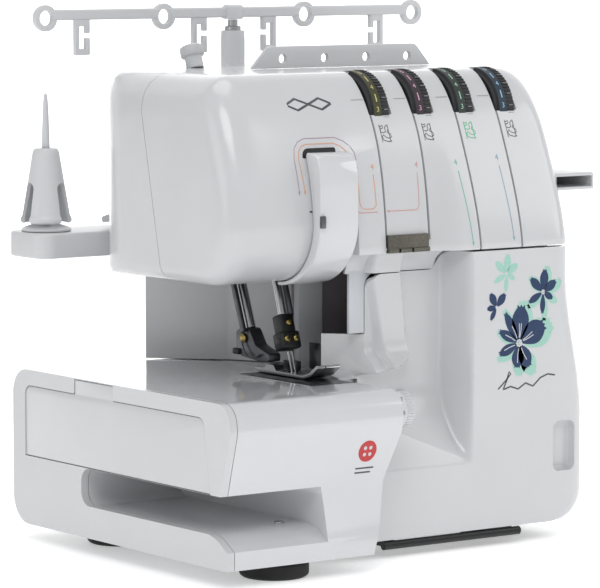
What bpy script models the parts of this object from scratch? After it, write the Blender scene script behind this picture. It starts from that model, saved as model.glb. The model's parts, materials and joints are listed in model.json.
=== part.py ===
"""Serger overlock sewing machine, four threads, as separate pieces.

Sizes are in millimetres in the machine's own frame: x to the right from the left end of the bed, y to the
back from the front foot of the bed, z up from the table. One root empty, scaled and shifted, centres the
whole machine on the world origin in metres.
"""

import math

import bmesh
import bpy
from mathutils import Matrix, Vector

for old in list(bpy.data.objects):
    bpy.data.objects.remove(old, do_unlink=True)

MM = 0.001

# Driving sizes of the body
FOOT_HEIGHT = 11.0
BED_LENGTH = 127.0
BED_TOP = 109.4
BED_REAR = 240.0
HEAD_LEFT = 36.0
HEAD_RIGHT = 294.0
HEAD_UNDER = 171.0
BODY_TOP = 297.5
BODY_RIGHT = 307.0
BODY_FRONT = 38.0
BODY_REAR = 228.0
COVER_TOP = 186.0       # top edge of the looper cover
COVER_DEPTH = 66.0      # y where the looper cover ends and the rear shell starts
WALL = 2.5
SEAM = 0.5              # gap between two covers
FIT = 0.3               # gap between pieces that touch
TURN = 0.4              # gap round anything that turns or slides

LEDGE_TOP = BED_TOP + 27.0      # left part of the looper cover, beside the needle

# The slot under the free arm
SLOT_LOW = 31.0
SLOT_HIGH = 54.5
SLOT_FRONT = 18.0
SLOT_REAR = 160.0
SLOT_REACH = 73.0
END_CAP = 5.0           # thickness of the bed's left end

# Tension dials
DIAL_FIRST = 151.0      # left side of the first dial's slot
DIAL_PITCH = 33.0
DIAL_COUNT = 4
DIAL_SLOT = 17.6
DIAL_WIDTH = 13.5
DIAL_RADIUS = 28.5
DIAL_Y = 93.0
DIAL_BELOW_TOP = 27.5   # dial axis below the top of the body

# Needle and presser bars, both leaning back
BARS_X = 115.0
NEEDLE_LEAN = math.radians(17.8)
PRESSER_LEAN = math.radians(20.8)
NEEDLE_FOOT_Y = 95.0    # where the needle bar's line meets the bed top
PRESSER_FOOT_Y = 127.5  # where the presser bar's line meets the bed top
NEEDLE_BAR_RADIUS = 2.8
PRESSER_BAR_RADIUS = 3.3

# Stand, mast and thread tree
STAND_LOW = 177.0
STAND_HIGH = 193.0
STAND_FRONT = BODY_REAR + 5.5
STAND_REAR = BODY_REAR + 51.4
STAND_HALF = 164.0
MAST_X = 181.0
MAST_Y = BODY_REAR + 28.0
MAST_TUBE = 8.0         # outer radius of the fixed tower
PIN_OFFSETS = (-145.5, -55.0, 57.5, 147.5)
HOOK_OFFSETS = (-118.0, -27.0, 28.5, 117.5)
CONE_RADIUS = 16.5      # foot of the cone holders
EYE_RADIUS = 8.5

# Main shaft and drive
SHAFT_Y = 150.0
SHAFT_Z = 52.0
SHAFT_RADIUS = 4.0
WHEEL_RADIUS = 34.0
WHEEL_WIDTH = 26.0
MOTOR_Y = 192.0
MOTOR_Z = 66.0
MOTOR_RADIUS = 24.0
BIG_PULLEY = 20.0
SMALL_PULLEY = 8.0
BELT = 2.0

PLASTIC_WHITE = ((0.78, 0.79, 0.80), 0.28, 0.0)
PLASTIC_GREY = ((0.10, 0.11, 0.12), 0.45, 0.0)
PLASTIC_BLACK = ((0.02, 0.02, 0.02), 0.4, 0.0)
RUBBER = ((0.03, 0.03, 0.03), 0.8, 0.0)
STEEL = ((0.55, 0.55, 0.56), 0.28, 1.0)
DARK_STEEL = ((0.16, 0.16, 0.17), 0.35, 1.0)
CAST = ((0.42, 0.43, 0.44), 0.55, 1.0)

DIAL_Z = BODY_TOP - DIAL_BELOW_TOP
MAST_TOP = BODY_TOP + 21.5
TREE_LOW = MAST_TOP + 7.5
PLATE_TOP = BED_TOP + 0.2
LEFT_MOST = min(0.0, MAST_X - STAND_HALF)
RIGHT_MOST = max(MAST_X + STAND_HALF, MAST_X + PIN_OFFSETS[-1] + CONE_RADIUS,
                 BODY_RIGHT + WHEEL_WIDTH + 1.0 + FIT)
FRONT_MOST = -2.5
REAR_MOST = max(STAND_REAR, BED_REAR)

root = bpy.data.objects.new("machine_root", None)
bpy.context.scene.collection.objects.link(root)
root.scale = (MM, MM, MM)
root.location = (-(LEFT_MOST + RIGHT_MOST) / 2 * MM, -(FRONT_MOST + REAR_MOST) / 2 * MM, 0.0)

# ---------------------------------------------------------------- helpers


def finish(kind, label):
    """One Principled material for each sub-part."""
    colour, roughness, metallic = kind
    material = bpy.data.materials.new(label)
    material.use_nodes = True
    shader = material.node_tree.nodes["Principled BSDF"]
    shader.inputs["Base Color"].default_value = (*colour, 1.0)
    shader.inputs["Roughness"].default_value = roughness
    shader.inputs["Metallic"].default_value = metallic
    return material


def piece(name, bm, kind, origin=(0.0, 0.0, 0.0), smooth=True):
    """Makes a named object whose own origin is the given point of the machine frame."""
    bmesh.ops.remove_doubles(bm, verts=bm.verts, dist=1e-4)
    bmesh.ops.recalc_face_normals(bm, faces=bm.faces)
    bm.transform(Matrix.Translation(-Vector(origin)))
    mesh = bpy.data.meshes.new(name)
    bm.to_mesh(mesh)
    bm.free()
    if smooth:
        mesh.shade_smooth()
        mesh.set_sharp_from_angle(angle=math.radians(35))
    made = bpy.data.objects.new(name, mesh)
    bpy.context.scene.collection.objects.link(made)
    made.parent = root
    made.location = origin
    if kind:
        made.data.materials.append(finish(kind, name + "_finish"))
    else:
        made.hide_render = True
        made.display_type = "WIRE"
    return made


def helper(name, bm):
    return piece("tool_" + name, bm, None, smooth=False)


# The exact solver leaves holes in these two large shells, so they use the manifold one
MANIFOLD_PIECES = {"front_cover", "rear_cover", "tool_lower_body"}


def combine(made, other, operation):
    step = made.modifiers.new(operation.lower() + "_" + other.name, "BOOLEAN")
    step.operation = operation
    step.object = other
    step.solver = "MANIFOLD" if made.name in MANIFOLD_PIECES else "EXACT"


def cut(made, *others):
    for other in others:
        combine(made, other, "DIFFERENCE")


def fuse(made, *others):
    for other in others:
        combine(made, other, "UNION")


def keep(made, other):
    combine(made, other, "INTERSECT")


def filleted(corners, steps=4):
    """Outline of (u, v, radius) corners, each rounded by an arc."""
    outline = []
    count = len(corners)
    for i, (u, v, radius) in enumerate(corners):
        here = Vector((u, v))
        if radius <= 0:
            outline.append((u, v))
            continue
        before = (Vector(corners[i - 1][:2]) - here).normalized()
        after = (Vector(corners[(i + 1) % count][:2]) - here).normalized()
        half = before.angle(after) / 2
        reach = radius / math.tan(half)
        centre = here + (before + after).normalized() * (radius / math.sin(half))
        first = here + before * reach - centre
        last = here + after * reach - centre
        sweep = first.angle_signed(last)
        for k in range(steps + 1):
            turned_by = Matrix.Rotation(-sweep * k / steps, 2)
            outline.append(tuple(centre + turned_by @ first))
    return outline


def prism(outline, axis, low, high):
    """Outline extruded along an axis: (y, z) along X, (x, z) along Y or (x, y) along Z."""
    place = {
        "X": lambda u, v: (low, u, v),
        "Y": lambda u, v: (u, low, v),
        "Z": lambda u, v: (u, v, low),
    }[axis]
    along = {"X": Vector((1, 0, 0)), "Y": Vector((0, 1, 0)), "Z": Vector((0, 0, 1))}[axis]
    bm = bmesh.new()
    face = bm.faces.new([bm.verts.new(place(u, v)) for u, v in outline])
    grown = bmesh.ops.extrude_face_region(bm, geom=[face])["geom"]
    moved = [item for item in grown if isinstance(item, bmesh.types.BMVert)]
    bmesh.ops.translate(bm, verts=moved, vec=along * (high - low))
    return bm


def block(x0, x1, y0, y1, z0, z1, bevel=0.0, segments=1):
    bm = bmesh.new()
    bmesh.ops.create_cube(bm, size=1.0)
    bmesh.ops.scale(bm, verts=bm.verts, vec=(x1 - x0, y1 - y0, z1 - z0))
    bmesh.ops.translate(bm, verts=bm.verts, vec=((x0 + x1) / 2, (y0 + y1) / 2, (z0 + z1) / 2))
    if bevel > 0:
        bmesh.ops.bevel(bm, geom=bm.edges, offset=bevel, segments=segments, affect="EDGES", profile=0.5)
    return bm


def loft(loops):
    """Closed solid through loops that have the same number of points."""
    bm = bmesh.new()
    rings = [[bm.verts.new(point) for point in loop] for loop in loops]
    for first, second in zip(rings, rings[1:]):
        for i in range(len(first)):
            j = (i + 1) % len(first)
            bm.faces.new((first[i], first[j], second[j], second[i]))
    bm.faces.new(rings[0])
    bm.faces.new(rings[-1])
    return bm


def turned(profile, foot, direction, steps=24):
    """Profile of (radius, height) spun about the line through foot; it starts and ends on the line."""
    bm = bmesh.new()
    verts = [bm.verts.new((radius, 0.0, height)) for radius, height in profile]
    edges = [bm.edges.new(pair) for pair in zip(verts, verts[1:])]
    if profile[0][0] > 0 and profile[0] != profile[-1]:
        edges.append(bm.edges.new((verts[-1], verts[0])))
    bmesh.ops.spin(
        bm, geom=verts + edges, cent=(0, 0, 0), axis=(0, 0, 1), angle=math.tau, steps=steps, use_merge=True
    )
    bmesh.ops.remove_doubles(bm, verts=bm.verts, dist=1e-4)
    turn = Vector((0, 0, 1)).rotation_difference(Vector(direction)).to_matrix().to_4x4()
    bm.transform(Matrix.Translation(Vector(foot)) @ turn)
    return bm


def rod(start, end, radius, steps=20):
    start, end = Vector(start), Vector(end)
    length = (end - start).length
    return turned([(0, 0), (radius, 0), (radius, length), (0, length)], start, end - start, steps)


def tube(start, end, outer, inner, steps=24):
    start, end = Vector(start), Vector(end)
    length = (end - start).length
    ring = [(inner, 0), (outer, 0), (outer, length), (inner, length)]
    return turned(ring, start, end - start, steps)


def joined(*parts):
    """Several closed shapes in one bmesh, for cutters whose shapes stay apart."""
    whole = bmesh.new()
    for part in parts:
        mesh = bpy.data.meshes.new("scratch")
        part.to_mesh(mesh)
        part.free()
        whole.from_mesh(mesh)
        bpy.data.meshes.remove(mesh)
    return whole


def bezier(p0, p1, p2, p3, count):
    points = []
    for k in range(count):
        t = k / count
        a, b, c, d = (1 - t) ** 3, 3 * t * (1 - t) ** 2, 3 * t * t * (1 - t), t**3
        points.append(tuple(a * p0[i] + b * p1[i] + c * p2[i] + d * p3[i] for i in (0, 1)))
    return points


def smooth(low, high, value):
    t = min(max((value - low) / (high - low), 0.0), 1.0)
    return t * t * (3 - 2 * t)


def lean_point(foot_y, lean, height, x=BARS_X):
    """Point on a leaning bar's line at a height above the table."""
    return (x, foot_y + (height - BED_TOP) * math.tan(lean), height)


# ---------------------------------------------------------------- outer shapes of the covers

FRONT_FLAT_X = HEAD_RIGHT - 88.0   # where the flat front starts
SCOOP_LEFT = BED_LENGTH + 19.0     # left edge of the looper cover above the bed
HEAD_FRONT = BODY_FRONT + 9.5


def front_low(x):
    """Front of the head at its lower edge: set back on the left, flush with the looper cover on the right."""
    return HEAD_FRONT - (HEAD_FRONT - BODY_FRONT) * smooth(FRONT_FLAT_X - 23, FRONT_FLAT_X, x)


def corner_in(radius, distance):
    """How far a rounded edge stands in at a distance from the end of the body."""
    if radius <= 0 or distance >= radius:
        return 0.0
    return radius - math.sqrt(max(radius**2 - (radius - distance) ** 2, 0.0))


def head_outline(x, left_part):
    low = front_low(x)
    knee = (60.0, BODY_TOP - 37.5)
    crown = (93.0, BODY_TOP)
    if left_part:
        under = HEAD_UNDER
        radius = 37.0
        start = (low, under + radius)
        foot = [
            (low + radius - radius * math.sin(a), under + radius - radius * math.cos(a))
            for a in (math.radians(15 * k) for k in range(6))
        ]
    else:
        under = COVER_TOP + SEAM + 0.7
        start = (low, under)
        foot = [(low + 22.0 - 4.0 * k, under) for k in range(6)]
    face = bezier(start, (low + 2, start[1] + 22), (knee[0] - 8, knee[1] - 20), knee, 4)
    brow = bezier(knee, (66.0, BODY_TOP - 22), (79.0, BODY_TOP), crown, 6)
    rear = [
        (BODY_REAR - 14 + 14 * math.sin(a), BODY_TOP - 14 + 14 * math.cos(a))
        for a in (math.radians(22.5 * k) for k in range(5))
    ]
    outline = foot + face + brow + [crown] + rear + [(BODY_REAR, under + 4), (BODY_REAR - 4, under)]
    return outline, low, under


def head_loop(x, inset, left_part, ends):
    """One section of the head, drawn in towards its middle where the end of the head is rounded."""
    outline, low, under = head_outline(x, left_part)
    front_in, top_in, rear_in, under_in = ends
    y0, y1 = low + inset + front_in, BODY_REAR - inset - rear_in
    z0, z1 = under + inset + under_in, BODY_TOP - inset - top_in
    sy = (y1 - y0) / (BODY_REAR - low)
    sz = (z1 - z0) / (BODY_TOP - under)
    return [(x, y0 + (y - low) * sy, z0 + (z - under) * sz) for y, z in outline]


def head_solid(inset, step, drop=0.0):
    """The whole head along x: the low left part over the bed, one step up, then the part over the looper cover."""
    loops = []
    for s in (0.0, 0.8, 3.0, 7.0, 12.0, 18.0, 26.0, 40.0, 62.0):
        rounding = [corner_in(r - inset, s) for r in (18.0, 26.0, 65.0, 10.0)]
        loops.append(head_loop(HEAD_LEFT + inset + s, inset, True, rounding))
    loops.append(head_loop(step, inset, True, (0, 0, 0, 0)))
    for x in (step + 1, FRONT_FLAT_X - 23, FRONT_FLAT_X - 15, FRONT_FLAT_X - 8, FRONT_FLAT_X):
        loops.append(head_loop(x, inset, False, (0, 0, 0, -drop)))
    for s in (26.0, 17.0, 10.0, 5.0, 2.0, 0.5, 0.0):
        rounding = [corner_in(r - inset, s) for r in (15.0, 23.0, 18.0)]
        loops.append(head_loop(HEAD_RIGHT - inset - s, inset, False, (*rounding, -drop)))
    return loft(loops)


def body_right(z):
    """Right face of the lower body: rounded at the table, leaning in towards the head."""
    low = BODY_RIGHT - corner_in(20.0, z - FOOT_HEIGHT)
    lean = smooth(FOOT_HEIGHT + 64, COVER_TOP - 16, z)
    return low - (BODY_RIGHT - HEAD_RIGHT) * lean


def body_plan(left, z, inset, front):
    right = body_right(z) - inset
    rear = BODY_REAR - inset
    corners = [(left, front, 0), (right, front, 0), (right, rear, 15.0 - inset), (left, rear, 0)]
    return [(x, y, z) for x, y in filleted(corners, 4)]


def body_block(left, low, high, inset, front):
    levels = (FOOT_HEIGHT + 2.5, FOOT_HEIGHT + 8, 45.0, 75.0, 100.0, 125.0, 150.0)
    levels = [z for z in levels if low + 1 < z < high - 1]
    return loft([body_plan(left, max(z, FOOT_HEIGHT), inset, front) for z in [low, *levels, high]])


def seam_y(z):
    """The line on the head's side where the front cover meets the rear cover."""
    return 122.7 + (z - 170.0) * 0.214


def column_outline(inset):
    shift = inset * 1.35
    return [
        (93.0 + shift * 2.0, BODY_REAR - inset),
        (132.0 + shift, 190.0 + inset * 0.7),
        (163.0 + inset, 134.0 + inset),
        (185.0 + inset, 134.0 + inset),
        (185.0 + inset, BODY_REAR - inset),
    ]


BAND = 400.0

seam_front = [(-50, 100), (seam_y(100), 100), (seam_y(BAND), BAND), (-50, BAND)]
seam_back = [(seam_y(100) + SEAM, 100), (BAND, 100), (BAND, BAND), (seam_y(BAND) + SEAM, BAND)]

# ---------------------------------------------------------------- front cover

HEAD_STEP = BED_LENGTH + 3.0
front_hollow = helper("front_hollow", head_solid(WALL, HEAD_STEP + 3.5, drop=12.0))
rear_hollow = helper("rear_hollow", head_solid(WALL, HEAD_STEP + 3.5))


def head_shell(name, seam):
    made = piece(name, head_solid(0.0, HEAD_STEP), PLASTIC_WHITE)
    keep(made, helper(name + "_side", prism(seam, "X", -20, BAND)))
    return made


SKIRT_LOW = COVER_TOP - 11.4
SCOOP_Y = COVER_DEPTH - 3.3
scoop_wall = [
    (BED_LENGTH + 7, SCOOP_Y),
    (FRONT_FLAT_X - 26, SCOOP_Y),
    (FRONT_FLAT_X - 10.0, SCOOP_Y - 14.0),
    (FRONT_FLAT_X - 10.0, SCOOP_Y - 10.0),
    (FRONT_FLAT_X - 25, SCOOP_Y + WALL),
    (BED_LENGTH + 7, SCOOP_Y + WALL),
]
tongue = [
    (BED_LENGTH + 7, SCOOP_Y + 0.1),
    (SCOOP_LEFT - 0.5, SCOOP_Y + 0.1),
    (SCOOP_LEFT - 0.5, SCOOP_Y + WALL - 0.1),
    (BED_LENGTH + 7, SCOOP_Y + WALL - 0.1),
]

front_cover = head_shell("front_cover", seam_front)
cut(front_cover, front_hollow)
fuse(
    front_cover,
    helper("head_end_wall", block(HEAD_STEP - 2.2, HEAD_STEP - 0.2, 72, 121, HEAD_UNDER + 1,
                                  HEAD_UNDER + 17)),
    helper("skirt", prism(scoop_wall, "Z", SKIRT_LOW, COVER_TOP + 4)),
    helper("skirt_tongue", prism(tongue, "Z", LEDGE_TOP + 1, COVER_TOP - 4)),
    helper("skirt_bridge", block(BED_LENGTH + 8, FRONT_FLAT_X - 27, HEAD_FRONT + 1, SCOOP_Y + 1.5,
                                 COVER_TOP + 1.4, COVER_TOP + 3.6)),
)
# The opening in the head's underside that the needle bar and the presser bar come through
bar_opening = helper("bar_opening", block(BARS_X - 18, BARS_X + 11, 84, 160, HEAD_UNDER - 9, HEAD_UNDER + 9))
cut(front_cover, bar_opening)
slots = []
for i in range(DIAL_COUNT):
    left = DIAL_FIRST + i * DIAL_PITCH
    slots.append(block(left, left + DIAL_SLOT, 50, DIAL_Y - 2, DIAL_Z + 1.5, BODY_TOP + 9))
cut(front_cover, helper("dial_slots", joined(*slots)))
channels = []
for i in range(DIAL_COUNT):
    left = DIAL_FIRST + i * DIAL_PITCH + (DIAL_SLOT - DIAL_WIDTH) / 2
    channels.append(rod((left - TURN, DIAL_Y, DIAL_Z), (left + DIAL_WIDTH + TURN, DIAL_Y, DIAL_Z),
                        DIAL_RADIUS + TURN, 40))
cut(front_cover, helper("dial_channels", joined(*channels)))
# Seat of the metal thread guide between the first two dials
cut(front_cover, helper("guide_seat", block(DIAL_FIRST + 0.4, DIAL_FIRST + DIAL_PITCH - 0.4,
                                            BODY_FRONT - 5, HEAD_FRONT + 1.6, COVER_TOP - 2,
                                            COVER_TOP + 13)))

guide_profile = [
    (HEAD_FRONT - 1.6, COVER_TOP + 1.4),
    (HEAD_FRONT + 1.2, COVER_TOP + 1.4),
    (HEAD_FRONT + 1.2, COVER_TOP + 12.4),
    (HEAD_FRONT - 0.2, COVER_TOP + 12.4),
    (HEAD_FRONT - 2.8, COVER_TOP + 8.0),
]
needle_thread_guide = piece(
    "needle_thread_guide",
    prism(guide_profile, "X", DIAL_FIRST + 0.8, DIAL_FIRST + DIAL_PITCH - 0.8),
    STEEL,
)

# ---------------------------------------------------------------- take-up cover

TAKEUP_LEFT, TAKEUP_RIGHT = BARS_X - 20.0, BARS_X + 8.5
NOSE_RADIUS = 37.0
NOSE_Y, NOSE_Z = HEAD_FRONT + NOSE_RADIUS, HEAD_UNDER + NOSE_RADIUS
TAKEUP_TOP = BODY_TOP - 46.5
nose_angles = [math.radians(15 * k) for k in range(7)]
takeup_outer = [(NOSE_Y - (NOSE_RADIUS + 9) * math.sin(a), NOSE_Z - (NOSE_RADIUS + 2.8) * math.cos(a))
                for a in nose_angles]
takeup_outer += bezier((HEAD_FRONT - 9, TAKEUP_TOP - 22), (HEAD_FRONT - 9, TAKEUP_TOP - 6),
                       (HEAD_FRONT - 5, TAKEUP_TOP), (HEAD_FRONT + 7, TAKEUP_TOP), 5)
takeup_outer += [(HEAD_FRONT + 7, TAKEUP_TOP)]
takeup_inner = [
    (HEAD_FRONT + 6.4, TAKEUP_TOP - 4.6),
    (HEAD_FRONT + 3.2, TAKEUP_TOP - 16.3),
    (HEAD_FRONT + 0.9, TAKEUP_TOP - 28.5),
]
takeup_inner += [(NOSE_Y - (NOSE_RADIUS + TURN) * math.sin(a), NOSE_Z - (NOSE_RADIUS + TURN) * math.cos(a))
                 for a in reversed(nose_angles)]
takeup_cover = piece("takeup_cover", prism(takeup_outer + takeup_inner, "X", TAKEUP_LEFT, TAKEUP_RIGHT),
                     PLASTIC_WHITE)

# ---------------------------------------------------------------- rear cover and right cover

rear_cover = head_shell("rear_cover", seam_back)
SPLIT = BODY_RIGHT - 37.0
low_block = body_block(BED_LENGTH + SEAM, FOOT_HEIGHT, BED_TOP, 0.0, COVER_DEPTH)
high_block = body_block(163.0, BED_TOP - 4, COVER_TOP + 0.6, 0.0, COVER_DEPTH)
left_of_split = helper("left_of_split", block(-50, SPLIT - SEAM, -50, BAND, -50, COVER_TOP + 0.6))
lower = helper("lower_body", low_block)
fuse(lower, helper("lower_body_high", high_block))
keep(lower, left_of_split)
fuse(
    rear_cover,
    helper("column", prism(column_outline(0.0), "Z", BED_TOP + SEAM, HEAD_UNDER + 24)),
    lower,
    helper("lower_to_head", block(200, SPLIT - SEAM, seam_y(COVER_TOP) + 9, BODY_REAR - 0.01 - 3.0,
                                  COVER_TOP - 6, COVER_TOP + 3)),
)
hollow_low = helper("hollow_low", body_block(BED_LENGTH - 20, FOOT_HEIGHT - 6, BED_TOP - WALL, WALL, 30.0))
hollow_high = helper("hollow_high", body_block(163.0 + WALL, BED_TOP - 14, COVER_TOP + 5, WALL, 30.0))
hollow_column = helper("hollow_column", prism(column_outline(WALL), "Z", BED_TOP - 4, HEAD_UNDER + 29))
side_window = helper("side_window", block(150, 170, 50, 131, BED_TOP + 3, COVER_TOP + 2))
cut(rear_cover, rear_hollow, hollow_low, hollow_high, hollow_column, side_window, bar_opening)
LIFTER_X = BARS_X - 34.0
cut(rear_cover, helper("lifter_slot", block(LIFTER_X - 6.5, LIFTER_X + 6.5, BODY_REAR - 12, BODY_REAR + 6,
                                            STAND_HIGH + 3, STAND_HIGH + 42)))

right_cover = piece("right_cover", body_block(163.0, FOOT_HEIGHT, COVER_TOP, 0.0, COVER_DEPTH),
                    PLASTIC_WHITE)
keep(right_cover, helper("right_of_split", block(SPLIT, BAND, -50, BAND, -50, COVER_TOP + 0.6)))
hollow_right = helper("hollow_right", body_block(BED_LENGTH - 20, FOOT_HEIGHT - 6, COVER_TOP + 6, WALL,
                                                 30.0))
cut(right_cover, hollow_right)
SWITCH_Y, INLET_Y = 205.0, 203.0
INLET_Z, SWITCH_Z = 38.0, 70.0
STITCH_DIAL_Y, FEED_DIAL_Y, SIDE_DIAL_Z = 92.0, 128.0, 118.0
SIDE_DIAL_RADIUS = 12.0
cut(
    right_cover,
    helper("wheel_hole", rod((BODY_RIGHT - 30, SHAFT_Y, SHAFT_Z), (BODY_RIGHT + 9, SHAFT_Y, SHAFT_Z), 9.0,
                             32)),
    helper("stitch_dial_hole", rod((BODY_RIGHT - 30, STITCH_DIAL_Y, SIDE_DIAL_Z),
                                   (BODY_RIGHT + 9, STITCH_DIAL_Y, SIDE_DIAL_Z), 3.0 + TURN, 16)),
    helper("feed_dial_hole", rod((BODY_RIGHT - 30, FEED_DIAL_Y, SIDE_DIAL_Z),
                                 (BODY_RIGHT + 9, FEED_DIAL_Y, SIDE_DIAL_Z), 3.0 + TURN, 16)),
    helper("inlet_hole", block(BODY_RIGHT - 30, BODY_RIGHT + 9, INLET_Y - 9 - FIT, INLET_Y + 9 + FIT,
                               INLET_Z - 6.5 - FIT, INLET_Z + 6.5 + FIT)),
    helper("switch_hole", block(BODY_RIGHT - 30, BODY_RIGHT + 9, SWITCH_Y - 5.5 - TURN,
                                SWITCH_Y + 5.5 + TURN,
                                SWITCH_Z - 9.5 - TURN, SWITCH_Z + 9.5 + TURN)),
)

# ---------------------------------------------------------------- looper cover

RAIL_Y, RAIL_Z, RAIL_RADIUS = BODY_FRONT + 1.2, FOOT_HEIGHT - 3.4, 2.7
FLOOR_LOW, FLOOR_HIGH = 51.0, 78.0
COVER_BACK = COVER_DEPTH - 0.8
NOTCH_LOW = BED_TOP - 28.0      # the notch that lets the cover swing past the stitch width dial
NOTCH_RIGHT = BED_LENGTH + SEAM + 12.0 + 0.8


def bed_right(z):
    """Right end of the bed, drawn in towards the table."""
    return BED_LENGTH - 20.0 * min(max((84.0 - z) / 75.0, 0.0), 1.0)


def scoop_floor(z):
    return min(max((z - FLOOR_LOW) / (FLOOR_HIGH - FLOOR_LOW), 0.0), 1.0)


def cover_left(z):
    """Left edge: along the bed's end, notched behind the width dial, a ledge above the bed, then the scoop."""
    if z > LEDGE_TOP:
        return SCOOP_LEFT
    if NOTCH_LOW < z < BED_TOP:
        return NOTCH_RIGHT
    # The deeper part rises a little as the cover swings open, so it starts further from the leaning bed end
    return bed_right(z + 5.0 * scoop_floor(z)) + SEAM


def cover_depth(x, z):
    """How far the looper cover's face stands back from the front plane."""
    edge = FRONT_FLAT_X + 6 - 6 * smooth(110, COVER_TOP, z)
    side = 1.0 - smooth(edge - 27, edge, x)
    return (COVER_BACK - WALL - BODY_FRONT) * side * scoop_floor(z)


def cover_top(x):
    return COVER_TOP - 12.0 * (1 - smooth(FRONT_FLAT_X - 8, FRONT_FLAT_X - 1, x))


def cover_grid():
    fractions = [0.0, 0.08, 0.16, 0.24, 0.32, 0.38, 0.42, 0.46, 0.50, 0.56, 0.66, 0.8, 1.0]
    steps = [z + side for z in (NOTCH_LOW, BED_TOP, LEDGE_TOP) for side in (-0.4, 0.4)]
    levels = sorted([FOOT_HEIGHT, 30.0, FLOOR_LOW, 60.0, 69.0, FLOOR_HIGH, *steps, 152.0]) + [1.0]
    rows = []
    for level in levels:
        row = []
        top_row = level == 1.0
        z_side = COVER_TOP if top_row else level
        left = cover_left(z_side)
        right = body_right(z_side) - 15.0
        for f in fractions:
            x = left + (right - left) * f
            z = cover_top(x) if top_row else min(level, cover_top(x))
            row.append((x, BODY_FRONT + cover_depth(x, z), z))
        for a in (22.5, 45.0, 67.5, 90.0):
            a = math.radians(a)
            y = BODY_FRONT + 15.0 - 15.0 * math.cos(a)
            z = COVER_TOP - 0.09 * max(y - BODY_FRONT - 4, 0) if top_row else level
            row.append((right + 15.0 * math.sin(a), y, z))
        z = COVER_TOP - 0.09 * (COVER_BACK - BODY_FRONT - 4) if top_row else level
        row.append((right + 15.0, COVER_BACK, z))
        rows.append(row)
    return rows


def plate_from(rows, push):
    """Closed plate between a grid and the same grid pushed along a rule."""
    bm = bmesh.new()
    front = [[bm.verts.new(point) for point in row] for row in rows]
    back = [[bm.verts.new(push(point)) for point in row] for row in rows]
    tall, wide = len(rows), len(rows[0])
    for j in range(tall - 1):
        for i in range(wide - 1):
            bm.faces.new((front[j][i], front[j][i + 1], front[j + 1][i + 1], front[j + 1][i]))
            bm.faces.new((back[j][i], back[j + 1][i], back[j + 1][i + 1], back[j][i + 1]))
    for j in range(tall - 1):
        bm.faces.new((front[j][0], front[j + 1][0], back[j + 1][0], back[j][0]))
        bm.faces.new((front[j][-1], back[j][-1], back[j + 1][-1], front[j + 1][-1]))
    for i in range(wide - 1):
        bm.faces.new((front[0][i], back[0][i], back[0][i + 1], front[0][i + 1]))
        bm.faces.new((front[-1][i], front[-1][i + 1], back[-1][i + 1], back[-1][i]))
    return bm


def cover_push(point):
    """Back face of the looper cover: behind the front, inside the right-hand corner."""
    x, y, z = point
    right = body_right(z)
    if x > right - 15.0:
        a = math.asin(min((x - right + 15.0) / 15.0, 1.0))
        if a > math.radians(89):
            return (x - WALL, y, z)
        return (x - WALL * math.sin(a), y + WALL * math.cos(a), z)
    return (x, y + WALL, z)


looper_cover = piece("looper_cover", plate_from(cover_grid(), cover_push), PLASTIC_WHITE,
                     (0, RAIL_Y, RAIL_Z))

rail_left, rail_right = SCOOP_LEFT - 3.0, SCOOP_LEFT + 104.0
looper_hinge_rail = piece(
    "looper_hinge_rail", rod((rail_left, RAIL_Y, RAIL_Z), (rail_right, RAIL_Y, RAIL_Z), RAIL_RADIUS, 16),
    PLASTIC_BLACK,
)
for i, x in enumerate((rail_left + 4, rail_right - 30)):
    arm = helper(f"rail_arm_{i}", block(x, x + 10, RAIL_Y, 80, RAIL_Z - 1.5, RAIL_Z + 1.5))
    pad = helper(f"rail_pad_{i}", block(x, x + 10, 70, 80, RAIL_Z, FOOT_HEIGHT + 1 - FIT))
    fuse(looper_hinge_rail, arm, pad)

# ---------------------------------------------------------------- bed

bed_front_low = 1.0


def bed_outer_profile(inset):
    t = inset
    low = FOOT_HEIGHT - (20 if inset else 0)
    corners = [
        (bed_front_low + t, low, 0),
        (bed_front_low + t, 24.0, 0),
        (8.0 + t, SLOT_HIGH, 0),
        (FRONT_MOST + t, 92.0, 12.0),
        (FRONT_MOST + 1.5 + t, BED_TOP - t, 13.0),
        (BED_REAR - t, BED_TOP - t, 16.0),
        (BED_REAR - t, low, 0 if t else 18.0),
    ]
    return filleted(corners, 4)


def slot_profile(grow):
    g = grow
    corners = [
        (-60.0, 24.0 - g, 0),
        (bed_front_low, 22.0 - g, 0),
        (bed_front_low + 4, 24.5 - g, 0),
        (SLOT_FRONT - 6, SLOT_LOW - 2.2 - g, 0),
        (SLOT_FRONT + 2, SLOT_LOW - g, 0),
        (SLOT_REAR + g, SLOT_LOW - g, 9.0 + g),
        (SLOT_REAR + g, SLOT_HIGH + g, 9.0 + g),
        (-60.0, SLOT_HIGH + g, 0),
    ]
    return filleted(corners, 4)


bed_end_plane = [(-40, 0), (bed_right(0), 0), (bed_right(9), 9), (bed_right(84), 84),
                 (BED_LENGTH, BED_TOP + 30),
                 (-40, BED_TOP + 30)]
bed_end_inner = [(-80, -40), (bed_right(0) - WALL, -40), (bed_right(9) - WALL, 9),
                 (bed_right(84) - WALL, 84),
                 (BED_LENGTH - WALL, BED_TOP + 30), (-80, BED_TOP + 30)]


def bed_shell(name, low, high, kind):
    made = piece(name, prism(bed_outer_profile(0.0), "X", 0.0, BED_LENGTH), kind)
    keep(made, helper(name + "_end", prism(bed_end_plane, "Y", -40, BAND)))
    cut(made, helper(name + "_slot", prism(slot_profile(0.0), "X", -30, SLOT_REACH)))
    keep(made, helper(name + "_part", block(low, high, -60, BAND, -20, BAND)))
    return made


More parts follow.
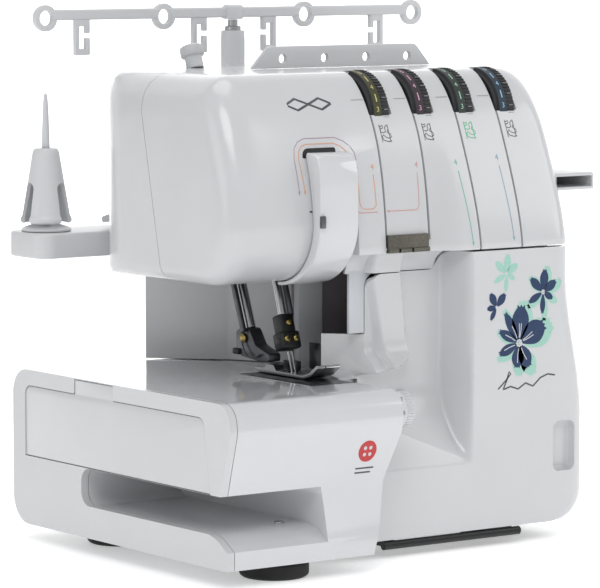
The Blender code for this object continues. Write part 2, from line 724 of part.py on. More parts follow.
hollow = helper("bed_hollow", prism(bed_outer_profile(WALL), "X", END_CAP - 20, BED_LENGTH - WALL))
keep(hollow, helper("bed_hollow_end", prism(bed_end_inner, "Y", -60, BAND)))
cut(hollow, helper("bed_hollow_slot", prism(slot_profile(WALL), "X", -60, SLOT_REACH + WALL)))

bed_cover = bed_shell("bed_cover", END_CAP + SEAM, BAND, PLASTIC_WHITE)
cut(bed_cover, hollow)
cut(bed_cover, helper("bed_to_body", block(BED_LENGTH - 30, BED_LENGTH + 20, COVER_DEPTH - 20,
                                           BODY_REAR - WALL - 3,
                                           -20, BED_TOP - WALL - 0.01)))
PLATE_LEFT, PLATE_RIGHT, PLATE_FRONT, PLATE_REAR = BARS_X - 20.0, BED_LENGTH - 1.2, 47.0, 125.0
PLATE_THICK = 1.8
cut(bed_cover, helper("plate_hole", block(PLATE_LEFT - FIT, BED_LENGTH + 9, PLATE_FRONT - FIT,
                                          PLATE_REAR + FIT,
                                          BED_TOP - 12, BED_TOP + 9)))

PANEL_FRONT, PANEL_REAR, PANEL_LOW, PANEL_HIGH = 22.0, 225.0, SLOT_HIGH + 0.6, BED_TOP - 10.4
TAB_FRONT, TAB_REAR = 124.0, 167.0
PANEL_THICK = 2.2


def panel_outline(grow):
    g = grow
    corners = [
        (PANEL_FRONT - 3 - g, PANEL_LOW - g, 0),
        (PANEL_FRONT + 4 - g, PANEL_HIGH + g, 6.0),
        (TAB_FRONT - g, PANEL_HIGH + g, 0),
        (TAB_FRONT - g, BED_TOP - 1.2 + g, 0),
        (TAB_REAR + g, BED_TOP - 1.2 + g, 0),
        (TAB_REAR + g, PANEL_HIGH + g, 0),
        (PANEL_REAR + g, PANEL_HIGH + g, 6.0),
        (PANEL_REAR + g, PANEL_LOW - g, 0),
    ]
    return filleted(corners, 3)


bed_end_cap = bed_shell("bed_end_cap", -20, END_CAP, PLASTIC_WHITE)
cut(bed_end_cap, helper("panel_seat", prism(panel_outline(SEAM), "X", -20, PANEL_THICK + FIT)))
cut(bed_end_cap, helper("compartment_mouth", block(-20, END_CAP + 20, 32, 214, SLOT_HIGH + 6,
                                                   PANEL_HIGH - 5)))
bed_end_panel = piece("bed_end_panel", prism(panel_outline(0.0), "X", 0.3, PANEL_THICK), PLASTIC_WHITE)

# ---------------------------------------------------------------- base, feet, frame

BASE_LOW = FOOT_HEIGHT + 1.0
BASE_HIGH = BASE_LOW + 3.0
base_outline = [
    (END_CAP + SEAM + 0.4, bed_front_low + WALL + SEAM),
    (bed_right(BASE_LOW) - WALL - SEAM, bed_front_low + WALL + SEAM),
    (bed_right(BASE_LOW) - WALL - SEAM, COVER_DEPTH + 4),
    (BODY_RIGHT - 25, COVER_DEPTH + 4),
    (BODY_RIGHT - 25, BODY_REAR - WALL - 5),
    (END_CAP + SEAM + 0.4, BODY_REAR - WALL - 9),
]
base_plate = piece("base_plate", prism(base_outline, "Z", BASE_LOW, BASE_HIGH), CAST)

FOOT_RADIUS = 21.0
FEET = {
    "foot_front_left": (52.0, 27.0),
    "foot_rear_left": (45.0, 185.0),
    "foot_front_right": (BODY_RIGHT - 45, COVER_DEPTH + 28),
    "foot_rear_right": (BODY_RIGHT - 45, BODY_REAR - 38),
}
foot_profile = [(0, 0), (FOOT_RADIUS - 2.5, 0), (FOOT_RADIUS, 3.0), (FOOT_RADIUS - 1.5, 6.5),
                (FOOT_RADIUS - 6, 8.5),
                (FOOT_RADIUS - 7, BASE_LOW - FIT), (0, BASE_LOW - FIT)]
for foot_name, (x, y) in FEET.items():
    piece(foot_name, turned(foot_profile, (x, y, 0), (0, 0, 1), 28), RUBBER)

WEB_X = DIAL_FIRST + DIAL_PITCH + DIAL_SLOT + 1.0
WEB = 7.0
frame_casting = piece("frame_casting", block(BED_LENGTH + 4, BODY_RIGHT - 24, COVER_DEPTH + 8,
                                             BODY_REAR - 14,
                                             BASE_HIGH + FIT, BASE_HIGH + 7), CAST)
NEEDLE_LOW_GUIDE = HEAD_UNDER + 33.0
NEEDLE_HIGH_GUIDE = HEAD_UNDER + 88.0
fuse(
    frame_casting,
    helper("web", block(WEB_X, WEB_X + WEB, COVER_DEPTH + 30, BODY_REAR - 12, BASE_HIGH + 3, BODY_TOP - 16)),
    helper("beam", block(BARS_X - 42, WEB_X + 2, 176, 183, HEAD_UNDER + 24, BODY_TOP - 16)),
    helper("low_guide", block(BARS_X - 14, BARS_X + 14, 104, 180, NEEDLE_LOW_GUIDE, NEEDLE_LOW_GUIDE + 8)),
    helper("high_guide", block(BARS_X - 14, BARS_X + 14, 118, 180, NEEDLE_HIGH_GUIDE,
                               NEEDLE_HIGH_GUIDE + 8)),
    helper("shelf", block(78, WEB_X + 2, COVER_DEPTH + 4, 128, 62, 67)),
    helper("dial_bracket", block(BED_LENGTH + 1, NOTCH_RIGHT, COVER_DEPTH + 4, COVER_DEPTH + 6.5, 64,
                                  BED_TOP - WALL - 1)),
    helper("plate_post_rear", block(PLATE_LEFT + 1, PLATE_LEFT + 7, 112, 122, 64,
                                    PLATE_TOP - PLATE_THICK - FIT)),
    helper("plate_post_front", block(PLATE_LEFT + 1, PLATE_LEFT + 7, COVER_DEPTH + 4, COVER_DEPTH + 10, 64,
                                     PLATE_TOP - PLATE_THICK - FIT)),
)
needle_axis = (lean_point(NEEDLE_FOOT_Y, NEEDLE_LEAN, 60),
               lean_point(NEEDLE_FOOT_Y, NEEDLE_LEAN, BODY_TOP - 10))
presser_axis = (lean_point(PRESSER_FOOT_Y, PRESSER_LEAN, 160, BARS_X - 2.5),
                lean_point(PRESSER_FOOT_Y, PRESSER_LEAN, BODY_TOP - 4, BARS_X - 2.5))
cut(
    frame_casting,
    helper("needle_bar_hole", rod(*needle_axis, NEEDLE_BAR_RADIUS + TURN, 16)),
    helper("presser_bar_hole", rod(*presser_axis, PRESSER_BAR_RADIUS + TURN, 16)),
    helper("shaft_hole", rod((BED_LENGTH - 30, SHAFT_Y, SHAFT_Z), (BODY_RIGHT, SHAFT_Y, SHAFT_Z),
                             SHAFT_RADIUS + TURN, 16)),
)

# ---------------------------------------------------------------- needle plate, feed, loopers, knives

needle_plate = piece("needle_plate", block(PLATE_LEFT, PLATE_RIGHT, PLATE_FRONT, PLATE_REAR,
                                           PLATE_TOP - PLATE_THICK, PLATE_TOP), DARK_STEEL)
FEED_X0, FEED_X1, FEED_Y0, FEED_Y1 = BARS_X - 9.0, BARS_X - 4.0, 78.0, 118.0
FEED_TRAVEL = 4.0
NEEDLE_SPREAD = 1.3
cut(
    needle_plate,
    helper("feed_slot", block(FEED_X0 - TURN, FEED_X1 + TURN, FEED_Y0 - TURN, FEED_Y1 + FEED_TRAVEL + TURN,
                              BED_TOP - 9, BED_TOP + 9)),
    helper("needle_slot", block(BARS_X - 2.6, BARS_X + 2.6, 86.0, 101.5, BED_TOP - 9, BED_TOP + 9)),
)
feed_dog = piece("feed_dog", block(FEED_X0, FEED_X1, FEED_Y0, FEED_Y1, BED_TOP - 9, PLATE_TOP - 0.1), STEEL)
fuse(feed_dog, helper("feed_bar", block(FEED_X0, FEED_X1, FEED_Y0 - 4, FEED_Y1 + 14, BED_TOP - 17,
                                        BED_TOP - 8.5)))


def flat_link(name, points, width, axis, low, high, kind, origin=(0, 0, 0)):
    """A flat arm of even width along a bent centre line."""
    left, right = [], []
    for i, here in enumerate(points):
        here = Vector(here)
        before = Vector(points[max(i - 1, 0)])
        after = Vector(points[min(i + 1, len(points) - 1)])
        run = (after - before).normalized()
        side = Vector((-run.y, run.x)) * (width / 2)
        left.append(tuple(here + side))
        right.append(tuple(here - side))
    return piece(name, prism(left + right[::-1], axis, low, high), kind, origin)


upper_looper = flat_link("upper_looper", [(137, 70), (138, 82), (135, 90), (130, 95)], 4.0, "Y", 78.0, 81.0,
                         STEEL, (137, 79.5, 70))
lower_looper = flat_link("lower_looper", [(88, 70), (85, 80), (89, 87), (100, 90)], 4.0, "Y", 90.0, 93.0,
                         STEEL, (88, 91.5, 70))
KNIFE_X = BED_LENGTH + 1.2
upper_knife = piece("upper_knife", block(KNIFE_X + 1.0, KNIFE_X + 3.4, 86, 98, BED_TOP + 1.5,
                                         BED_TOP + 20), DARK_STEEL)
lower_knife = piece("lower_knife", block(KNIFE_X - 1.8, KNIFE_X + 0.6, 84, 100, BED_TOP - 22, BED_TOP - 3),
                    STEEL)

# ---------------------------------------------------------------- needle bar and presser bar

needle_dir = (Vector(needle_axis[1]) - Vector(needle_axis[0])).normalized()
presser_dir = (Vector(presser_axis[1]) - Vector(presser_axis[0])).normalized()
CLAMP_LOW, CLAMP_HIGH = BED_TOP + 15.0, BED_TOP + 38.0
needle_bar = piece(
    "needle_bar",
    rod(lean_point(NEEDLE_FOOT_Y, NEEDLE_LEAN, CLAMP_HIGH + FIT + NEEDLE_BAR_RADIUS * math.sin(NEEDLE_LEAN)),
        lean_point(NEEDLE_FOOT_Y, NEEDLE_LEAN, BODY_TOP - 30), NEEDLE_BAR_RADIUS, 16),
    STEEL,
)


def leaning_block(foot_y, lean, x0, x1, back, front, low, high):
    """Block whose long side follows a leaning bar."""
    y_low = foot_y + (low - BED_TOP) * math.tan(lean)
    y_high = foot_y + (high - BED_TOP) * math.tan(lean)
    side = [(y_low - front, low), (y_low + back, low), (y_high + back, high), (y_high - front, high)]
    return prism(side, "X", x0, x1)


needle_clamp = piece("needle_clamp", leaning_block(NEEDLE_FOOT_Y, NEEDLE_LEAN, BARS_X - 8, BARS_X + 7, 5, 7,
                                                   CLAMP_LOW, CLAMP_HIGH), PLASTIC_BLACK)
for name, dx in (("needle_left", -NEEDLE_SPREAD), ("needle_right", NEEDLE_SPREAD)):
    tip = Vector(lean_point(NEEDLE_FOOT_Y - 1.0, NEEDLE_LEAN, BED_TOP - 2.5, BARS_X + dx))
    head = Vector(lean_point(NEEDLE_FOOT_Y - 1.0, NEEDLE_LEAN, CLAMP_LOW - FIT, BARS_X + dx))
    long = (head - tip).length
    needle = [(0, 0), (0.45, 4), (0.55, long - 7), (0.95, long - 5), (0.95, long), (0, long)]
    piece(name, turned(needle, tip, head - tip, 10), STEEL)

BAR_X = BARS_X - 2.5
ANKLE_TOP = BED_TOP + 27.0
presser_bar = piece(
    "presser_bar",
    rod(lean_point(PRESSER_FOOT_Y, PRESSER_LEAN,
                   ANKLE_TOP + FIT + PRESSER_BAR_RADIUS * math.sin(PRESSER_LEAN), BAR_X),
        lean_point(PRESSER_FOOT_Y, PRESSER_LEAN, BODY_TOP - 18, BAR_X), PRESSER_BAR_RADIUS, 16),
    STEEL,
)
ankle_side = [(112.5, BED_TOP + 7.5), (123, BED_TOP + 7.0), (143, BED_TOP + 9.0), (148, BED_TOP + 13),
              (148, BED_TOP + 24), (143, ANKLE_TOP), (134, ANKLE_TOP), (127, BED_TOP + 17),
              (112.5, BED_TOP + 12.5)]
presser_ankle = piece("presser_ankle", prism(ankle_side, "X", BARS_X - 7, BARS_X + 3), STEEL)
foot_side = [(58.5, BED_TOP + 8.8), (66, BED_TOP + 3.2), (74, BED_TOP + 0.9), (121, BED_TOP + 0.9),
             (127, BED_TOP + 2.4),
             (127, BED_TOP + 3.8), (116, BED_TOP + 4.2), (112, BED_TOP + 6.6), (106, BED_TOP + 6.6),
             (103, BED_TOP + 3.2),
             (75, BED_TOP + 2.8), (68, BED_TOP + 5.0), (60, BED_TOP + 10.4)]
presser_foot = piece("presser_foot", prism(foot_side, "X", BARS_X - 8, BARS_X + 10), STEEL,
                     (BARS_X, 109.0, BED_TOP + 5.0))
cut(presser_foot, helper("foot_needle_slot", block(BARS_X - 2.8, BARS_X + 2.8, 84.0, 102.0, BED_TOP - 5,
                                                   BED_TOP + 20)))

lifter_pivot = (LIFTER_X, BODY_REAR - 18, STAND_HIGH + 17)
lifter_side = [(BODY_REAR - 22, STAND_HIGH + 14), (BODY_REAR - 14, STAND_HIGH + 12),
               (BODY_REAR + 8, STAND_HIGH + 8),
               (BODY_REAR + 24, STAND_HIGH + 4), (BODY_REAR + 25, STAND_HIGH + 7.5),
               (BODY_REAR + 9, STAND_HIGH + 12),
               (BODY_REAR - 14, STAND_HIGH + 20), (BODY_REAR - 22, STAND_HIGH + 20)]
presser_lifter = piece("presser_lifter", prism(lifter_side, "X", LIFTER_X - 5.5, LIFTER_X + 5.5),
                       PLASTIC_WHITE,
                       lifter_pivot)

KNOB_LOW = BODY_TOP - 0.5
knob_foot = Vector(lean_point(PRESSER_FOOT_Y, PRESSER_LEAN, KNOB_LOW, BAR_X))
knob_profile = [(0, 0), (5.75, 0), (5.75, 7.5), (7.75, 8.0), (7.75, 14.5), (6.8, 15.5), (0, 15.5)]
pressure_knob = piece("pressure_knob", turned(knob_profile, knob_foot, presser_dir, 24), PLASTIC_WHITE,
                      tuple(knob_foot))
cut(rear_cover, helper("knob_hole", rod(knob_foot - presser_dir * 12, knob_foot + presser_dir * 20,
                                        5.75 + TURN, 24)))

# ---------------------------------------------------------------- dials

for i in range(DIAL_COUNT):
    left = DIAL_FIRST + i * DIAL_PITCH + (DIAL_SLOT - DIAL_WIDTH) / 2
    rim = DIAL_RADIUS - 0.8
    profile = [(0, 0), (rim, 0), (DIAL_RADIUS, 0.8), (DIAL_RADIUS, DIAL_WIDTH - 0.8), (rim, DIAL_WIDTH),
               (0, DIAL_WIDTH)]
    piece(f"tension_dial_{i + 1}", turned(profile, (left, DIAL_Y, DIAL_Z), (1, 0, 0), 40), PLASTIC_GREY,
          (left, DIAL_Y, DIAL_Z))

WIDTH_DIAL_Y, WIDTH_DIAL_Z, WIDTH_DIAL_RADIUS = 13.5, BED_TOP - 13.5, 12.0
WIDTH_DIAL_WIDTH = NOTCH_RIGHT - 0.8 - BED_LENGTH - SEAM
width_profile = [(0, 0), (WIDTH_DIAL_RADIUS, 0), (WIDTH_DIAL_RADIUS, WIDTH_DIAL_WIDTH - 1),
                 (WIDTH_DIAL_RADIUS - 1, WIDTH_DIAL_WIDTH), (0, WIDTH_DIAL_WIDTH)]
stitch_width_dial = piece("stitch_width_dial", turned(width_profile,
                                                      (BED_LENGTH + SEAM, WIDTH_DIAL_Y, WIDTH_DIAL_Z),
                                                      (1, 0, 0), 32), PLASTIC_WHITE,
                          (BED_LENGTH + SEAM, WIDTH_DIAL_Y, WIDTH_DIAL_Z))
side_start = body_right(SIDE_DIAL_Z - SIDE_DIAL_RADIUS) + 0.6
side_profile = [(0, -12), (3.0, -12), (3.0, 0), (SIDE_DIAL_RADIUS, 0), (SIDE_DIAL_RADIUS - 1.5, 9), (0, 9)]
for name, y in (("stitch_length_dial", STITCH_DIAL_Y), ("differential_dial", FEED_DIAL_Y)):
    piece(name, turned(side_profile, (side_start, y, SIDE_DIAL_Z), (1, 0, 0), 28), PLASTIC_WHITE,
          (side_start, y, SIDE_DIAL_Z))

# ---------------------------------------------------------------- drive

PULLEY_X = SPLIT + 2.0
PULLEY_WIDTH = 8.0
shaft_profile = [(0, 0), (SHAFT_RADIUS, 0), (SHAFT_RADIUS, PULLEY_X - 100), (BIG_PULLEY, PULLEY_X - 100),
                 (BIG_PULLEY, PULLEY_X - 100 + PULLEY_WIDTH), (SHAFT_RADIUS, PULLEY_X - 100 + PULLEY_WIDTH),
                 (SHAFT_RADIUS, BODY_RIGHT - 100 + 1.0), (0, BODY_RIGHT - 100 + 1.0)]
main_shaft = piece("main_shaft", turned(shaft_profile, (100, SHAFT_Y, SHAFT_Z), (1, 0, 0), 28), STEEL,
                   (100, SHAFT_Y, SHAFT_Z))
wheel_start = BODY_RIGHT + 1.0 + FIT
wheel_profile = [(0, 0), (WHEEL_RADIUS - 3, 0), (WHEEL_RADIUS, 3), (WHEEL_RADIUS, WHEEL_WIDTH - 6),
                 (WHEEL_RADIUS - 5, WHEEL_WIDTH), (WHEEL_RADIUS - 14, WHEEL_WIDTH - 0.5),
                 (0, WHEEL_WIDTH - 3)]
handwheel = piece("handwheel", turned(wheel_profile, (wheel_start, SHAFT_Y, SHAFT_Z), (1, 0, 0), 36),
                  PLASTIC_WHITE,
                  (wheel_start, SHAFT_Y, SHAFT_Z))
motor = piece("motor", rod((SPLIT - 52, MOTOR_Y, MOTOR_Z), (SPLIT - 6, MOTOR_Y, MOTOR_Z), MOTOR_RADIUS,
                           28), DARK_STEEL)
motor_pulley = piece("motor_pulley", rod((SPLIT - 6 + FIT, MOTOR_Y, MOTOR_Z),
                                         (SPLIT - 2 + FIT + PULLEY_WIDTH, MOTOR_Y, MOTOR_Z), SMALL_PULLEY,
                                         24),
                     PLASTIC_GREY, (SPLIT - 6 + FIT, MOTOR_Y, MOTOR_Z))


def belt_outline(extra):
    """Round the two pulleys, on the two lines that touch both circles."""
    first, second = Vector((SHAFT_Y, SHAFT_Z)), Vector((MOTOR_Y, MOTOR_Z))
    r1, r2 = BIG_PULLEY + extra, SMALL_PULLEY + extra
    span = second - first
    line = math.atan2(span.y, span.x)
    spread = math.acos((r1 - r2) / span.length)
    points = []
    for k in range(17):
        a = line + spread + (math.tau - 2 * spread) * k / 16
        points.append((first.x + r1 * math.cos(a), first.y + r1 * math.sin(a)))
    for k in range(9):
        a = line - spread + 2 * spread * k / 8
        points.append((second.x + r2 * math.cos(a), second.y + r2 * math.sin(a)))
    return points


drive_belt = piece("drive_belt", prism(belt_outline(TURN + BELT), "X", PULLEY_X + 1,
                                       PULLEY_X + PULLEY_WIDTH - 1),
                   RUBBER)
cut(drive_belt, helper("belt_inside", prism(belt_outline(TURN), "X", PULLEY_X - 5,
                                            PULLEY_X + PULLEY_WIDTH + 5)))

power_inlet = piece("power_inlet", block(BODY_RIGHT - 16, BODY_RIGHT + 0.6, INLET_Y - 9, INLET_Y + 9,
                                         INLET_Z - 6.5,
                                         INLET_Z + 6.5), PLASTIC_BLACK)
cut(power_inlet, helper("inlet_mouth", block(BODY_RIGHT - 11, BODY_RIGHT + 9, INLET_Y - 7, INLET_Y + 7,
                                             INLET_Z - 4.5,
                                             INLET_Z + 4.5)))
switch_side = [(BODY_RIGHT - 8, SWITCH_Z - 9.3), (BODY_RIGHT + 0.6, SWITCH_Z - 9.3),
               (BODY_RIGHT - 0.4, SWITCH_Z),
               (BODY_RIGHT + 2.4, SWITCH_Z + 9.0), (BODY_RIGHT - 8, SWITCH_Z + 9.0)]
power_switch = piece("power_switch", prism(switch_side, "Y", SWITCH_Y - 5.5, SWITCH_Y + 5.5), PLASTIC_BLACK,
                     (BODY_RIGHT - 5, SWITCH_Y, SWITCH_Z))

# ---------------------------------------------------------------- thread guide plate, stand, mast and tree

PLATE_Y = 157.0
LAST_DIAL = DIAL_FIRST + (DIAL_COUNT - 1) * DIAL_PITCH
guide_corners = [(DIAL_FIRST - 25, BODY_TOP + FIT, 0), (DIAL_FIRST - 12, BODY_TOP + 14.2, 6),
                 (LAST_DIAL + 6, BODY_TOP + 14.2, 6), (LAST_DIAL + 18, BODY_TOP + FIT, 0)]
thread_guide_plate = piece("thread_guide_plate", prism(filleted(guide_corners, 3), "Y", PLATE_Y - 1.6,
                                                       PLATE_Y + 1.6),
                           PLASTIC_WHITE)
holes = [rod((DIAL_FIRST - 1 + i * DIAL_PITCH, PLATE_Y - 9, BODY_TOP + 6.3),
             (DIAL_FIRST - 1 + i * DIAL_PITCH, PLATE_Y + 9, BODY_TOP + 6.3), 3.0,
             14) for i in range(DIAL_COUNT)]
cut(thread_guide_plate, helper("guide_holes", joined(*holes)))

stand_plan = [(MAST_X - STAND_HALF, STAND_FRONT, 12), (MAST_X + STAND_HALF, STAND_FRONT, 12),
              (MAST_X + STAND_HALF, STAND_REAR, 14), (MAST_X - STAND_HALF, STAND_REAR, 14)]
spool_stand = piece("spool_stand", prism(filleted(stand_plan, 4), "Z", STAND_LOW, STAND_HIGH), PLASTIC_WHITE)
fuse(spool_stand, helper("stand_bracket", block(MAST_X - 30, MAST_X + 30, BODY_REAR + FIT, STAND_FRONT + 4,
                                                STAND_LOW, STAND_HIGH - 1)))
stand_inner = [(MAST_X - STAND_HALF + 3, STAND_FRONT + 3, 9), (MAST_X + STAND_HALF - 3, STAND_FRONT + 3, 9),
               (MAST_X + STAND_HALF - 3, STAND_REAR - 3, 11), (MAST_X - STAND_HALF + 3, STAND_REAR - 3, 11)]
cut(spool_stand, helper("stand_underside", prism(filleted(stand_inner, 3), "Z", STAND_LOW - 9,
                                                 STAND_HIGH - 3)))

MIDDLE_TUBE = MAST_TUBE - 2.6
UPPER_ROD = MIDDLE_TUBE - 2.0
mast_tower = piece("mast_tower", tube((MAST_X, MAST_Y, STAND_HIGH + FIT), (MAST_X, MAST_Y, MAST_TOP),
                                      MAST_TUBE,
                                      MIDDLE_TUBE + TURN), PLASTIC_WHITE)
mast_lower_tube = piece("mast_lower_tube", tube((MAST_X, MAST_Y, STAND_HIGH + 1),
                                                (MAST_X, MAST_Y, MAST_TOP + 3),
                                                MIDDLE_TUBE, UPPER_ROD + TURN), STEEL)
mast_upper_rod = piece("mast_upper_rod", rod((MAST_X, MAST_Y, STAND_HIGH + 2),
                                             (MAST_X, MAST_Y, TREE_LOW - FIT),
                                             UPPER_ROD), STEEL)

PIN_RADIUS = 3.0
CONE_LOW = STAND_HIGH + 5.0
for i, offset in enumerate(PIN_OFFSETS):
    x = MAST_X + offset
    pin = [(0, 0), (16.0, 0), (16.0, 2.2), (9.0, 4.4), (PIN_RADIUS + 1, 4.6), (PIN_RADIUS, 12),
           (PIN_RADIUS - 0.6, 60),
           (PIN_RADIUS - 1.4, 80), (1.0, 88.0), (0, 88.0)]
    piece(f"spool_pin_{i + 1}", turned(pin, (x, MAST_Y, STAND_HIGH + FIT), (0, 0, 1), 20), PLASTIC_WHITE)
    cone = [(PIN_RADIUS + 1.6, 0), (CONE_RADIUS - 1, 0), (CONE_RADIUS, 2), (8.5, 46), (7.0, 48),
            (PIN_RADIUS + 0.6, 48)]
    piece(f"spool_cone_{i + 1}", turned(cone, (x, MAST_Y, CONE_LOW + FIT), (0, 0, 1), 24), PLASTIC_WHITE)

TREE_HIGH = TREE_LOW + 8.0
EYE_Z = TREE_LOW + 2.5
tree = piece("thread_tree", block(MAST_X + PIN_OFFSETS[0], MAST_X + PIN_OFFSETS[-1], MAST_Y - 2.5,
                                  MAST_Y + 2.5,
                                  TREE_LOW + 1, TREE_HIGH), PLASTIC_WHITE)
fuse(tree, helper("tree_boss", rod((MAST_X, MAST_Y, TREE_LOW), (MAST_X, MAST_Y, TREE_HIGH + 1.5), 7.0, 20)))
for i, offset in enumerate(PIN_OFFSETS):
    x = MAST_X + offset
    fuse(tree, helper(f"tree_eye_{i}", rod((x, MAST_Y - 2, EYE_Z), (x, MAST_Y + 2, EYE_Z), EYE_RADIUS, 20)))
for i, offset in enumerate(HOOK_OFFSETS):
    x = MAST_X + offset
    fuse(tree, helper(f"tree_hook_{i}", block(x - 5.5, x + 5.5, MAST_Y - 1.8, MAST_Y + 1.8, TREE_LOW - 21.5,
                                              TREE_LOW + 3)))
    opening = 1 if i < 2 else -1
    reach = sorted((x - 1.8 * opening, x + 9 * opening))
    cut(
        tree,
        helper(f"tree_hook_gap_{i}", block(x - 2.4, x + 2.4, MAST_Y - 9, MAST_Y + 9, TREE_LOW - 17.5,
                                           TREE_LOW - 3)),
        helper(f"tree_hook_mouth_{i}", block(*reach, MAST_Y - 9, MAST_Y + 9, TREE_LOW - 10.5,
                                             TREE_LOW - 7.5)),
    )
for i, offset in enumerate(PIN_OFFSETS):
    x = MAST_X + offset
    cut(tree, helper(f"tree_eye_hole_{i}", rod((x, MAST_Y - 9, EYE_Z), (x, MAST_Y + 9, EYE_Z),
                                               EYE_RADIUS - 3.5, 16)))

POCKET_Z, POCKET_Y = BODY_TOP - 73.0, 62.0
accessory_pocket = piece("accessory_pocket", block(HEAD_RIGHT + FIT, HEAD_RIGHT + 36, POCKET_Y,
                                                   POCKET_Y + 44,
                                                   POCKET_Z - 5.5, POCKET_Z + 5.5, 0.8), PLASTIC_WHITE)
cut(accessory_pocket, helper("pocket_mouth", block(HEAD_RIGHT + 4, HEAD_RIGHT + 33.5, POCKET_Y - 9,
                                                   POCKET_Y + 41,
                                                   POCKET_Z - 3.5, POCKET_Z + 3.5)))
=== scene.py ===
import json
import math

import bmesh
import bpy
from mathutils import Matrix, Vector

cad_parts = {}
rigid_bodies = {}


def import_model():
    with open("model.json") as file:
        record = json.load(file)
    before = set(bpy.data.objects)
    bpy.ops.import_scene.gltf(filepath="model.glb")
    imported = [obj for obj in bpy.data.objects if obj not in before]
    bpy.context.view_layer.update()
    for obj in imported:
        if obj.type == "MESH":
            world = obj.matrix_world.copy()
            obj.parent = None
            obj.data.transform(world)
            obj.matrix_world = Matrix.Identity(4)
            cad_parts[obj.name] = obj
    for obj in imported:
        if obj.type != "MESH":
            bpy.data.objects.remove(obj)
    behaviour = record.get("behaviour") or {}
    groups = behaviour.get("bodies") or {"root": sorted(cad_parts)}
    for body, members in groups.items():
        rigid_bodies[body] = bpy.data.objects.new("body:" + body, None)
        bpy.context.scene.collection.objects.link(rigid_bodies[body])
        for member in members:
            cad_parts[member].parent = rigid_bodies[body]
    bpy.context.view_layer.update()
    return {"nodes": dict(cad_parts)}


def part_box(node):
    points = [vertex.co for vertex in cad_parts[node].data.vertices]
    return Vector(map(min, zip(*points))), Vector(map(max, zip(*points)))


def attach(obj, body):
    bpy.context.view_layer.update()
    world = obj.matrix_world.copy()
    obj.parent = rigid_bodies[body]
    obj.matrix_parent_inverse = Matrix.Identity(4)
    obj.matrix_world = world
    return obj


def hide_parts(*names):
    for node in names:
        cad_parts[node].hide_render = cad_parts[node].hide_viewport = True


for old in list(bpy.data.objects):
    bpy.data.objects.remove(old, do_unlink=True)

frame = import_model()
mm = 0.001

# All sizes below are in millimetres from the front left corner of the bed, on the table.
zero = Vector((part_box("bed_end_cap")[0].x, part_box("looper_cover")[0].y - 38 * mm, 0.0))
toWorld = Matrix.Translation(zero) @ Matrix.Diagonal((mm, mm, mm, 1.0))


# Lowest and highest corner of a CAD node, in millimetres.
def span(node):
    low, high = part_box(node)
    return (low - zero) / mm, (high - zero) / mm


# Materials

def linear(hexColour):
    parts = [int(hexColour[i:i + 2], 16) / 255 for i in (1, 3, 5)]
    return (*[c / 12.92 if c <= 0.04045 else ((c + 0.055) / 1.055) ** 2.4 for c in parts], 1.0)


# Adds a node, sets its properties and sockets, and links its inputs from other nodes' outputs.
def addNode(tree, kind, settings=None, links=None):
    node = tree.nodes.new(kind)
    for key, value in (settings or {}).items():
        if isinstance(key, str) and hasattr(node, key):
            setattr(node, key, value)
        else:
            node.inputs[key].default_value = value
    for key, (source, output) in (links or {}).items():
        tree.links.new(source.outputs[output], node.inputs[key])
    return node


# Colour drifts between two shades over patches, and a fine grain moves the gloss and the surface.
def moulded(name, dark, light, patchMm, grainMm, grainDepth, rough, metallic=0.0, ior=1.5, coat=0.0,
            stretch=(1, 1, 1)):
    material = bpy.data.materials.new(name)
    material.use_nodes = True
    tree = material.node_tree
    shader = tree.nodes["Principled BSDF"]
    shader.inputs["Metallic"].default_value = metallic
    shader.inputs["IOR"].default_value = ior
    shader.inputs["Coat Weight"].default_value = coat
    shader.inputs["Coat Roughness"].default_value = 0.08
    place = addNode(tree, "ShaderNodeTexCoord")
    drawn = addNode(tree, "ShaderNodeMapping", {"Scale": stretch}, {"Vector": (place, "Object")})
    patch = addNode(tree, "ShaderNodeTexNoise", {"Scale": 1 / (patchMm * mm), "Detail": 3.0,
                                                 "Roughness": 0.5},
                    {"Vector": (drawn, "Vector")})
    shade = addNode(tree, "ShaderNodeMix", {"data_type": "RGBA", 6: linear(dark), 7: linear(light)},
                    {"Factor": (patch, "Fac")})
    grain = addNode(tree, "ShaderNodeTexNoise", {"Scale": 1 / (grainMm * mm), "Detail": 2.0,
                                                 "Roughness": 0.6},
                    {"Vector": (drawn, "Vector")})
    gloss = addNode(tree, "ShaderNodeMapRange", {"To Min": rough[0], "To Max": rough[1]},
                    {"Value": (grain, "Fac")})
    bump = addNode(tree, "ShaderNodeBump", {"Strength": 0.6, "Distance": grainDepth * mm},
                   {"Height": (grain, "Fac")})
    tree.links.new(shade.outputs[2], shader.inputs["Base Color"])
    tree.links.new(gloss.outputs["Result"], shader.inputs["Roughness"])
    tree.links.new(bump.outputs["Normal"], shader.inputs["Normal"])
    return material


# ABS shell, polished tool: bright cool white with a soft, slightly wavy reflection
whiteAbs = moulded("whiteAbsGloss", "#c6c7c9", "#cecfd1", 45.0, 2.6, 0.012, (0.17, 0.25), ior=1.53,
                   coat=0.25)
# The same ABS on the bed's top and the take-up cover, polished further, so that the fittings mirror in it
bedAbs = moulded("whiteAbsPolished", "#cbcccf", "#d3d4d6", 45.0, 3.2, 0.006, (0.07, 0.11), ior=1.53,
                 coat=0.6)
# Injection moulded polypropylene: the stand, cones and tree, a shade duller and softer
whitePp = moulded("whitePolypropylene", "#c6c7c9", "#cfd0d2", 30.0, 1.6, 0.02, (0.32, 0.42), ior=1.49)
# Shaded inside of the shells, unpolished
innerAbs = moulded("whiteAbsInside", "#c3c6ca", "#cdd0d3", 30.0, 2.0, 0.02, (0.5, 0.6), ior=1.53)
# Painted shade: a darker plum grey that stands for the shade deep in the gap behind the needle
gapShadeAbs = moulded("gapShadeAbs", "#857e83", "#958e92", 20.0, 0.8, 0.02, (0.5, 0.6), ior=1.53)
